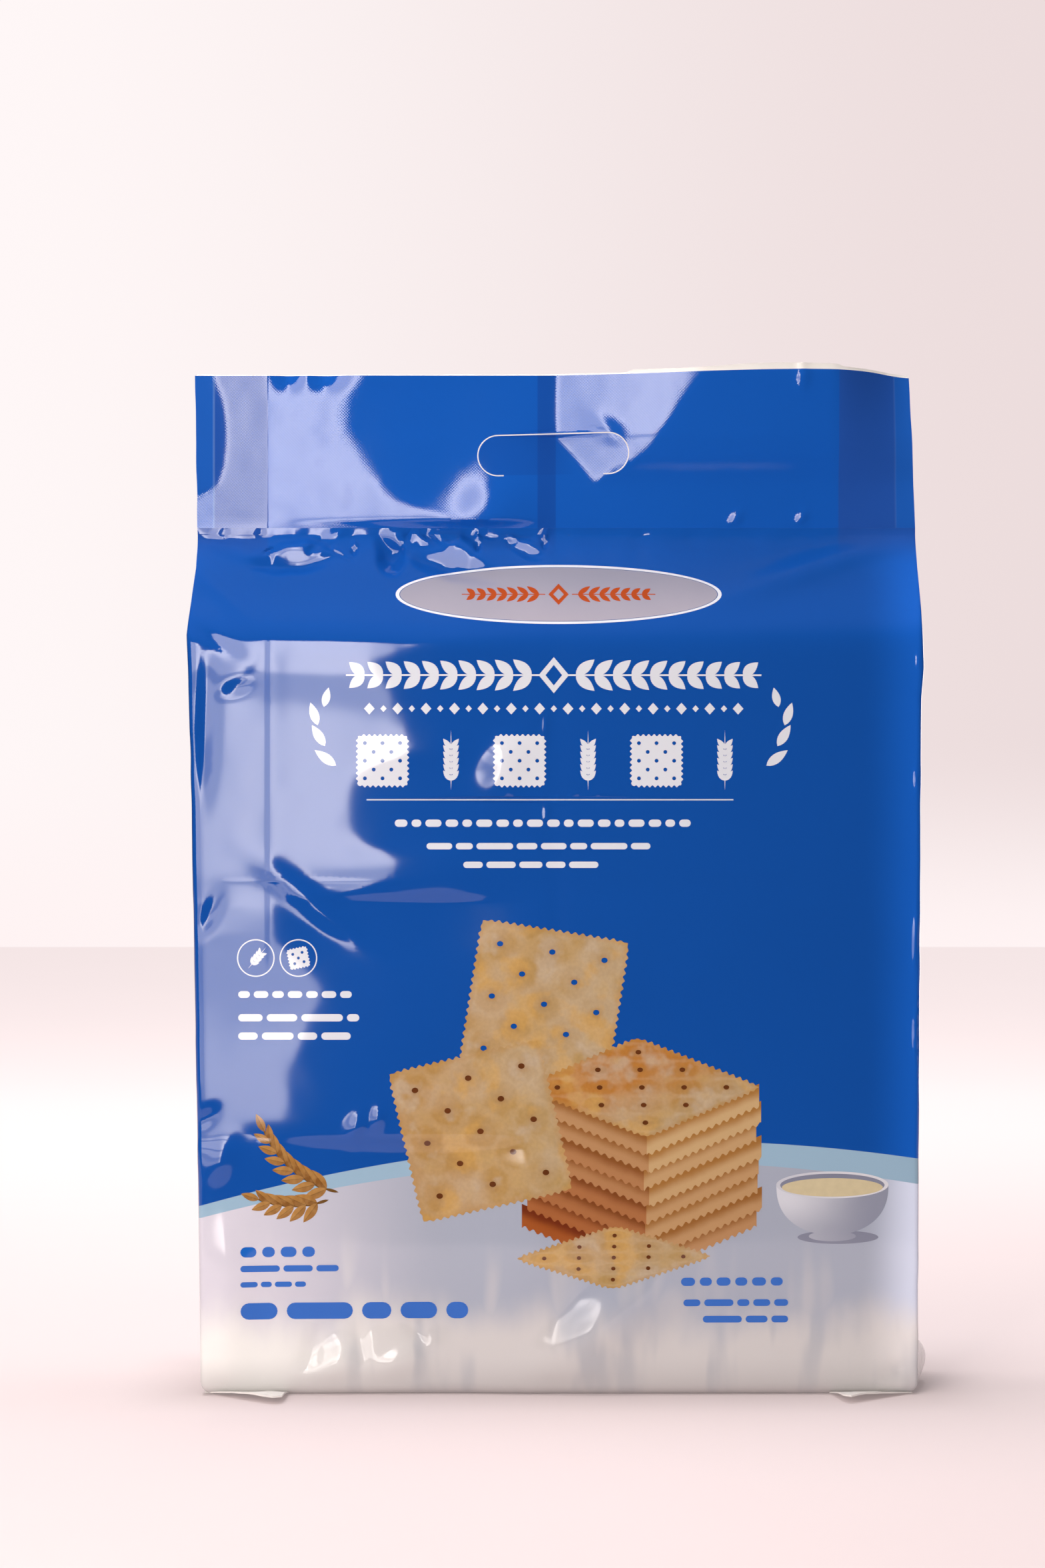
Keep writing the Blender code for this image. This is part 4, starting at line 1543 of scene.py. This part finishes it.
def new_material(name, looks, roughness=FILM_ROUGHNESS):
    """A material whose looks at a spot are given by a rule: inputs of the shader and their values."""
    material = bpy.data.materials.new(name)
    material.use_nodes = True
    shader = material.node_tree.nodes["Principled BSDF"]
    shader.inputs["Roughness"].default_value = roughness
    shader.inputs["IOR"].default_value = 1.5
    for place, value in looks(Spot(material.node_tree)).items():
        feed(shader.inputs[place], value)
    return material


def film_looks(spot):
    """The printed fields: blue over a pale blue arc over white, through which the wraps show at the foot,
    with painted light towards the side edges and painted shadow streaks on the foot.
    """
    x, height = spot.x, spot.height
    run = x - ARC_MIDDLE
    above = height - (run * run * -ARC_BEND + ARC_TOP)
    tone = noise(spot.place, 9.0)
    # painted light: a share that brightens the blue, the white and the foot near the right edge, where the
    # film turns to the right and catches the light
    right = ramp(tone * 0.006 + x, 0.129, 0.155)
    # painted light: a share that brightens the white field and the foot towards the left, where the film
    # faces the softbox
    left = ramp(tone * 0.03 + x, -0.02, -0.135)

    under_seal = ramp(height, SEAL_HEIGHT - 0.016, SEAL_HEIGHT)
    beside = [step_at(x, GUSSET_FOLD_RIGHT, 0.001), step_at(x, GUSSET_FOLD_LEFT, -0.001)]
    gussets = calc("MAXIMUM", *beside)
    seam = step_at(x, BACK_SEAM_LEFT, 0.001) * step_at(x, BACK_SEAM_RIGHT, -0.001)
    blue = covered(
        mix(tone, scaled(BLUE, 0.93), scaled(BLUE, 1.07)),
        (ramp(height, SEAL_HEIGHT - 0.026, SEAL_HEIGHT - 0.002), scaled(BLUE, 1.22)),
        (right, scaled(BLUE, 1.55)),
        (gussets * under_seal * 0.7, GUSSET_SHADE),
        (seam * under_seal * 0.5, SEAM_BLUE_AND_SLOT_SHADE),
    )

    # painted shade: upright shadow streaks on the foot, away from its lit left side
    shadow_streaks = ramp(noise(spot.place, 75.0, 2.0, 0.22), 0.5, 0.7) * ramp(x, -0.11, -0.06)
    foot = covered(
        mix(left, FOOT, FOOT_LIT_LEFT),
        (right, scaled(FOOT, 1.45)),
        (shadow_streaks * 0.55, STREAK_SHADOW),
        (ramp(height, 0.017, 0.002) * 0.55, FOOT_SHADE),
    )
    empty = ramp(noise(spot.place, 42.0, 3.0, 0.45) * 0.036 + height, 0.064, 0.038)
    glow = ramp(noise(spot.place, 90.0, 1.0, 0.16), 0.5, 0.75) * ramp(height, 0.075, 0.045)
    white = covered(
        mix(tone, scaled(WHITE, 0.96), scaled(WHITE, 1.04)),
        (right, scaled(WHITE, 2.0)),
        (left, WHITE_LIT_LEFT),
        (calc("MAXIMUM", empty, glow * 0.45), foot),
    )
    in_arc = step_at(above + (x * ARC_WIDENING + ARC_WIDTH), 0.0, PRINT_EDGE)
    colour = covered(white, (in_arc, TEAL), (step_at(above, 0.0, PRINT_EDGE), blue))
    return {"Base Color": colour}


def seam_looks(spot):
    """The fin seam's film, with the fine ribs of its seal."""
    ribs = calc("SINE", spot.height * (2.0 * math.pi / SEAM_RIB_PITCH))
    return {**film_looks(spot), "Normal": bumped(ribs, SEAM_RIB_DEPTH)}


def header_looks(spot):
    """The header's film, darker where more layers lie behind it, with painted shade in the left half of the
    slot's flap and the seal's fine diamond knurl.
    """
    x, height = spot.x, spot.height
    seam = step_at(x, BACK_SEAM_LEFT, 0.0004) * ramp(x, BACK_SEAM_RIGHT + 0.0004, BACK_SEAM_RIGHT - 0.0002)
    blue = covered(
        mix(noise(spot.place, 9.0), scaled(BLUE, 1.28), scaled(BLUE, 1.44)),
        (step_at(x, GUSSET_FOLD_RIGHT, 0.0003) * 0.75, GUSSET_SHADE),
        (step_at(x, GUSSET_FOLD_LEFT, -0.0003) * 0.75, GUSSET_SHADE),
        (seam * 0.55, SEAM_BLUE_AND_SLOT_SHADE),
    )
    for edge_x, turn in ((EDGE_STRIP_RIGHT, 1.0), (EDGE_STRIP_LEFT, -1.0)):
        run = (x - edge_x) * turn
        # painted highlight: a thin pale line along each edge strip's border, stronger on the left
        line = stripe(run, 0.0007, 0.0001) * (0.2 - 0.12 * turn)
        blue = covered(blue, (step_at(run, 0.0, 0.0002), EDGE_STRIP), (line, EDGE_HIGHLIGHT))

    beyond = calc("MAXIMUM", calc("ABSOLUTE", x) - (SLOT_LENGTH - SLOT_WIDTH) / 2, 0.0)
    rise = x * -math.tan(math.radians(SLOT_TILT)) + (height - SLOT_HEIGHT)
    inside = ramp(length_of(beyond, rise), SLOT_WIDTH / 2, SLOT_WIDTH / 2 - 0.0003)
    # painted shade: the left half of the slot's flap is darker, as if shadowed by the cut
    blue = mix(inside * ramp(x, 0.012, -0.004) * 0.3, blue, SEAM_BLUE_AND_SLOT_SHADE)

    knurl_turn = math.pi * math.sqrt(2.0) / KNURL_PITCH
    knurl = calc("SINE", (x - height) * knurl_turn) * 0.9 + calc("SINE", (x + height) * knurl_turn)
    for fold_x in (GUSSET_FOLD_LEFT, GUSSET_FOLD_RIGHT):
        knurl = knurl + ramp(x, fold_x - 0.0004, fold_x + 0.0004, FOLD_STEP / KNURL_DEPTH, 0.0)
    return {"Base Color": blue, "Normal": bumped(knurl, KNURL_DEPTH)}


def plain_looks(colour, spread=0.06, size=14.0):
    """The rule of a plain ink whose colour drifts a little over the film."""

    def looks(spot):
        low, high = scaled(colour, 1.0 - spread), scaled(colour, 1.0 + spread)
        return {"Base Color": mix(noise(spot.place, size), low, high)}

    return looks


def badge_looks(spot):
    """The badge's silver ink, lighter towards its foot."""
    rise = ramp(noise(spot.place, 26.0) * 0.016 + spot.height, BADGE_LOW, BADGE_LOW + 0.036)
    return {"Base Color": mix(rise, (0.39, 0.362, 0.428), (0.275, 0.275, 0.35))}


def figure_parts(tree):
    """Shares along and up a printed figure, and the figure's own tone."""
    place = tree.nodes.new("ShaderNodeUVMap")
    place.uv_map = "Figure"
    tone = tree.nodes.new("ShaderNodeAttribute")
    tone.attribute_name = "tone"
    along, up, rest = parts_of(Value(place.outputs[0]))
    return along, up, Value(tone.outputs["Fac"])


def cracker_looks(spot):
    """The printed crackers: pale dough, toasted rims and bubbles, and a dimple round each hole."""
    along, up, tone = figure_parts(spot.tree)
    rim = calc("MINIMUM", calc("MINIMUM", along, 1.0 - along), calc("MINIMUM", up, 1.0 - up))
    column = calc("DIVIDE", along - HOLE_MARGIN, HOLE_PITCH)
    row = calc("DIVIDE", up - HOLE_MARGIN, HOLE_PITCH)
    fray = (noise(spot.place, 260.0) - 0.5) * 0.34

    def from_lattice(shift):
        """Distance from the holes, or from the places between them where shift is a half."""
        first = calc("FRACT", (column + row) * 0.5 + (10.5 + shift)) - 0.5
        second = calc("FRACT", (column - row) * 0.5 + (10.5 + shift)) - 0.5
        return length_of(first, second) + fray

    broad = noise(spot.place, 45.0, 2.0)
    cloud = noise(spot.place, 75.0)
    blotch = noise(spot.place, 120.0, 4.0)
    speck = noise(spot.place, 700.0, 2.0)
    hole = from_lattice(0.0)
    bubble = ramp(from_lattice(0.5), 0.34, 0.04) * ramp(blotch, 0.4, 0.7)
    dough = covered(
        mix(ramp(broad, 0.38, 0.62), (0.43, 0.28, 0.105), (0.47, 0.345, 0.2)),
        (tone * ramp(broad * 0.5 + along, 1.25, 0.35), (0.45, 0.19, 0.04)),
        (ramp(cloud, 0.5, 0.66, 0.0, 0.75), (0.56, 0.33, 0.095)),
        (ramp(cloud, 0.44, 0.3, 0.0, 0.6), (0.5, 0.4, 0.29)),
        (bubble * 0.45, (0.47, 0.29, 0.07)),
        (ramp(hole, 0.34, 0.52) * 0.16, (0.64, 0.52, 0.36)),
        (ramp(hole, 0.24, 0.05) * 0.4, (0.35, 0.19, 0.065)),
        (ramp(rim + blotch * 0.05, 0.06, 0.025) * 0.3, (0.43, 0.23, 0.07)),
    )
    crumb = mix(ramp(speck, 0.3, 0.7), (0.93, 0.93, 0.93), (1.0, 1.0, 1.0))
    return {"Base Color": mix(1.0, dough, crumb, "MULTIPLY")}


def layer_looks(spot):
    """The sides of the printed stack: a pale upper rim over a toasted shade."""
    along, up, tone = figure_parts(spot.tree)
    lit = ramp(noise(spot.place, 150.0) * 0.3 + up, 1.1, 0.35)
    light = mix(tone, (0.56, 0.385, 0.19), (0.33, 0.085, 0.018))
    dark = mix(tone, (0.37, 0.175, 0.045), (0.15, 0.026, 0.007))
    return {"Base Color": mix(lit, dark, light)}


def leaf_looks(spot):
    """Golden leaves, lighter along one half, with a dark midrib."""
    along, up, tone = figure_parts(spot.tree)
    gold = covered(
        mix(step_at(up, 0.0, 0.02), (0.4, 0.19, 0.045), (0.23, 0.092, 0.02)),
        (ramp(along, 0.9, 0.0) * 0.45, (0.12, 0.05, 0.015)),
        (tone * 0.45, (0.48, 0.26, 0.085)),
        (stripe(up, 0.022, 0.004) * 0.6, (0.11, 0.045, 0.012)),
        (ramp(noise(spot.place, 420.0, 2.0), 0.35, 0.75, 0.0, 0.3), (0.56, 0.33, 0.12)),
    )
    return {"Base Color": gold}


def china_looks(spot):
    """The white bowl: bright on its left and grey on its right."""
    along, up, tone = figure_parts(spot.tree)
    across = noise(spot.place, 60.0, 2.0) * 0.1 + along
    side = mix(ramp(across, 0.1, 0.95), (0.64, 0.66, 0.72), (0.27, 0.29, 0.37))
    side = mix(ramp(up, 0.75, 0.0, 0.0, 0.55), side, (0.25, 0.27, 0.35))
    rim = mix(ramp(across, 0.0, 1.0), (0.56, 0.58, 0.64), (0.68, 0.69, 0.73))
    return {"Base Color": mix(ramp(tone, 0.05, 0.3), rim, side)}


def edge_looks(spot):
    """The film's cut edges: unprinted white."""
    return {"Base Color": mix(noise(spot.place, 60.0), (0.8, 0.78, 0.74), (0.9, 0.88, 0.85))}


def floor_looks(spot):
    """Pale paper with a glow of its own, which is weaker round the bag's foot: a painted contact shadow."""
    glow = ramp(spot.y, -0.3, 1.4, 0.21, 0.83)
    # painted contact shadow: a share that dims the floor's glow round the bag's foot
    near = ramp(spot.y, -0.08, -0.034) * ramp(spot.y, 0.09, 0.04) * stripe(spot.x, 0.185, 0.14)
    shaded = glow * (near * -0.4 + 1.0)
    mirrored = Value(spot.tree.nodes.new("ShaderNodeLightPath").outputs["Is Glossy Ray"])
    return {
        "Base Color": mix(noise(spot.place, 3.0), (0.58, 0.5, 0.5), (0.62, 0.54, 0.54)),
        "Specular IOR Level": 0.0,
        "Emission Color": (0.925, 0.815, 0.815),
        "Emission Strength": shaded + mirrored * (0.21 - shaded),
    }


# Stage

def add_sheet(name, corners, material, unseen):
    """A flat four-sided sheet of the stage, without the kinds of ray that don't see it."""
    data = bpy.data.meshes.new(name)
    data.from_pydata(corners, [], [(0, 1, 2, 3)])
    data.materials.append(material)
    sheet = bpy.data.objects.new(name, data)
    for ray in unseen:
        setattr(sheet, "visible_" + ray, False)
    bpy.context.scene.collection.objects.link(sheet)
    return sheet


def glowing_material(name, colour, strength):
    """A material that gives light; its strength is a rule of the spot."""
    material = bpy.data.materials.new(name)
    material.use_nodes = True
    tree = material.node_tree
    tree.nodes.clear()
    glow = tree.nodes.new("ShaderNodeEmission")
    glow.inputs["Color"].default_value = (*colour, 1.0)
    feed(glow.inputs["Strength"], strength(Spot(tree)))
    output = tree.nodes.new("ShaderNodeOutputMaterial")
    tree.links.new(glow.outputs[0], output.inputs["Surface"])
    return material


def softbox_strength(spot):
    """A softbox that is brightest towards its right edge, in bands over its height."""
    level = ramp(spot.x, SOFTBOX_RIGHT - 0.12, SOFTBOX_RIGHT - 0.005, SOFTBOX_DIM, 1.0)
    for low, high, from_level, to_level in SOFTBOX_BANDS:
        level = level * ramp(spot.height, low, high, from_level, to_level)
    return level * SOFTBOX_STRENGTH


def build_softbox():
    """The panel of light on the left that the film mirrors."""
    glow = glowing_material("softbox", (1.0, 0.93, 0.89), softbox_strength)
    outline = box(SOFTBOX_LEFT, SOFTBOX_RIGHT, SOFTBOX_LOW, SOFTBOX_TOP)
    corners = [(x, -SOFTBOX_DISTANCE, height) for x, height in outline]
    return add_sheet("softbox", [corners[index] for index in (0, 3, 2, 1)], glow, ("camera", "shadow"))


def back_panel_strength(spot):
    """A panel that is a little brighter at its left edge."""
    return ramp(spot.x, BACK_PANEL_LEFT, BACK_PANEL_LEFT + 0.24, 7.0, 4.0)


def build_back_panel():
    """A panel of light behind the bag that only its gloss shows."""
    glow = glowing_material("back panel", (1.0, 0.95, 0.93), back_panel_strength)
    glow.cycles.emission_sampling = "NONE"
    outline = box(BACK_PANEL_LEFT, BACK_PANEL_RIGHT, SOFTBOX_LOW, SOFTBOX_TOP)
    corners = [(x, SOFTBOX_DISTANCE, height) for x, height in outline]
    return add_sheet("back_panel", corners, glow, ("camera", "shadow", "diffuse"))


def build_table_light():
    """The soft light from above that neither the camera nor the film's gloss sees."""
    data = bpy.data.lights.new("table light", "AREA")
    data.shape = "RECTANGLE"
    data.size = TABLE_LIGHT_SIZE
    data.size_y = TABLE_LIGHT_SIZE
    data.energy = TABLE_LIGHT_POWER
    data.color = (1.0, 0.95, 0.94)
    light = bpy.data.objects.new("table light", data)
    light.location = TABLE_LIGHT_PLACE
    towards = Vector(TABLE_LIGHT_TARGET) - Vector(TABLE_LIGHT_PLACE)
    light.rotation_euler = towards.to_track_quat("-Z", "Y").to_euler()
    light.visible_camera = False
    light.visible_glossy = False
    bpy.context.scene.collection.objects.link(light)


def background(tree, colour, strength):
    """A world shader of a colour and a strength."""
    node = tree.nodes.new("ShaderNodeBackground")
    feed(node.inputs["Color"], colour)
    feed(node.inputs["Strength"], strength)
    return node


def either(tree, share, first, second):
    """The second shader where the share is 1, and the first elsewhere."""
    node = tree.nodes.new("ShaderNodeMixShader")
    for index, output in enumerate((share, first.outputs[0], second.outputs[0])):
        tree.links.new(output, node.inputs[index])
    return node


def build_room():
    """A pale room to the camera, soft light to the scene, and little to be seen in the film's gloss."""
    world = bpy.data.worlds.new("room")
    bpy.context.scene.world = world
    world.use_nodes = True
    tree = world.node_tree
    tree.nodes.clear()
    across, away, up = parts_of(Value(tree.nodes.new("ShaderNodeTexCoord").outputs["Generated"]))
    # painted shade: the wall that the camera sees is darker towards the right, away from the softbox
    wall = mix(ramp(across, -0.16, 0.16), (1.0, 0.93, 0.93), (0.84, 0.72, 0.72))
    wall = mix(ramp(up, -0.047, 0.014, 1.0, 0.0), wall, (1.0, 0.9, 0.9))
    seen = background(tree, wall, 1.0)
    soft = background(tree, (1.0, 0.92, 0.92), 0.22)
    mirrored = background(tree, (1.0, 0.95, 0.95), ramp(up, 0.55, 0.95, 0.02, 0.14))
    path = tree.nodes.new("ShaderNodeLightPath")
    unseen = either(tree, path.outputs["Is Glossy Ray"], soft, mirrored)
    shown = either(tree, path.outputs["Is Camera Ray"], unseen, seen)
    output = tree.nodes.new("ShaderNodeOutputWorld")
    tree.links.new(shown.outputs[0], output.inputs["Surface"])


def build_stage():
    """A pale table, a pale room round it, a softbox on the left and the photo's camera."""
    paper = new_material("pale table", floor_looks, 0.6)
    floor = add_sheet("floor", [(-4, -0.5, 0), (4, -0.5, 0), (4, 4, 0), (-4, 4, 0)], paper, ())
    softbox = build_softbox()
    back_panel = build_back_panel()
    build_table_light()
    build_room()

    camera_data = bpy.data.cameras.new("camera")
    camera_data.lens = CAMERA_LENS
    camera_data.sensor_width = CAMERA_SENSOR
    camera = bpy.data.objects.new("camera", camera_data)
    camera.location = CAMERA_PLACE
    camera.rotation_euler = (math.radians(90.0), 0.0, 0.0)
    bpy.context.scene.collection.objects.link(camera)
    bpy.context.scene.camera = camera
    bpy.context.scene.view_settings.view_transform = "Standard"


def build_inks():
    """The printed inks' materials by name."""
    inks = {name: new_material(name + " ink", plain_looks(*ink)) for name, ink in PLAIN_INKS.items()}
    inks["badge"] = new_material("badge ink", badge_looks)
    inks["cracker"] = new_material("cracker picture", cracker_looks, PICTURE_ROUGHNESS)
    inks["layer"] = new_material("cracker layers", layer_looks, PICTURE_ROUGHNESS)
    inks["leaf"] = new_material("golden leaves", leaf_looks, PICTURE_ROUGHNESS)
    inks["china"] = new_material("china picture", china_looks, PICTURE_ROUGHNESS)
    return inks


# The bag's pieces

film = new_material("printed film", film_looks)
header_film = new_material("header film", header_looks)
edge = new_material("film edge", edge_looks, 0.35)
inks = build_inks()

levels = body_levels() + [SEAL_HEIGHT]
prints = front_prints()
pattern = front_pattern(levels, [outline for outline, ink, place, shade in prints])
places, faces = build_body(levels, pattern)
body = add_piece("film_body", places, faces, [film])
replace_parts(body, "film_pack")
places, faces, marks = build_header()
header = add_piece("film_header", places, faces, [header_film, edge], marks)
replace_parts(header, "film_pack")

for name, names in INK_PIECES.items():
    add_print(name, names, prints, pattern, inks, -1)
prints = back_prints()
pattern = back_pattern([outline for outline, ink, place, shade in prints])
for name, names in (("print_back_white", ["white"]), ("print_back_blue", ["blue"])):
    add_print(name, names, prints, pattern, inks, 1)

seam_film = new_material("fin seam film", seam_looks, 0.1)
places, faces = build_fin_seam()
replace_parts(add_piece("fin_seam", places, faces, [seam_film]), "film_pack")
for side, (name, outline) in zip((-1, 1), EARS.items()):
    places, faces = build_ear(outline, side)
    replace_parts(add_piece(name, places, faces, [edge]), "film_pack")
places, faces = build_lip()
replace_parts(add_piece("back_lip", places, faces, [edge]), "film_pack")

build_stage()
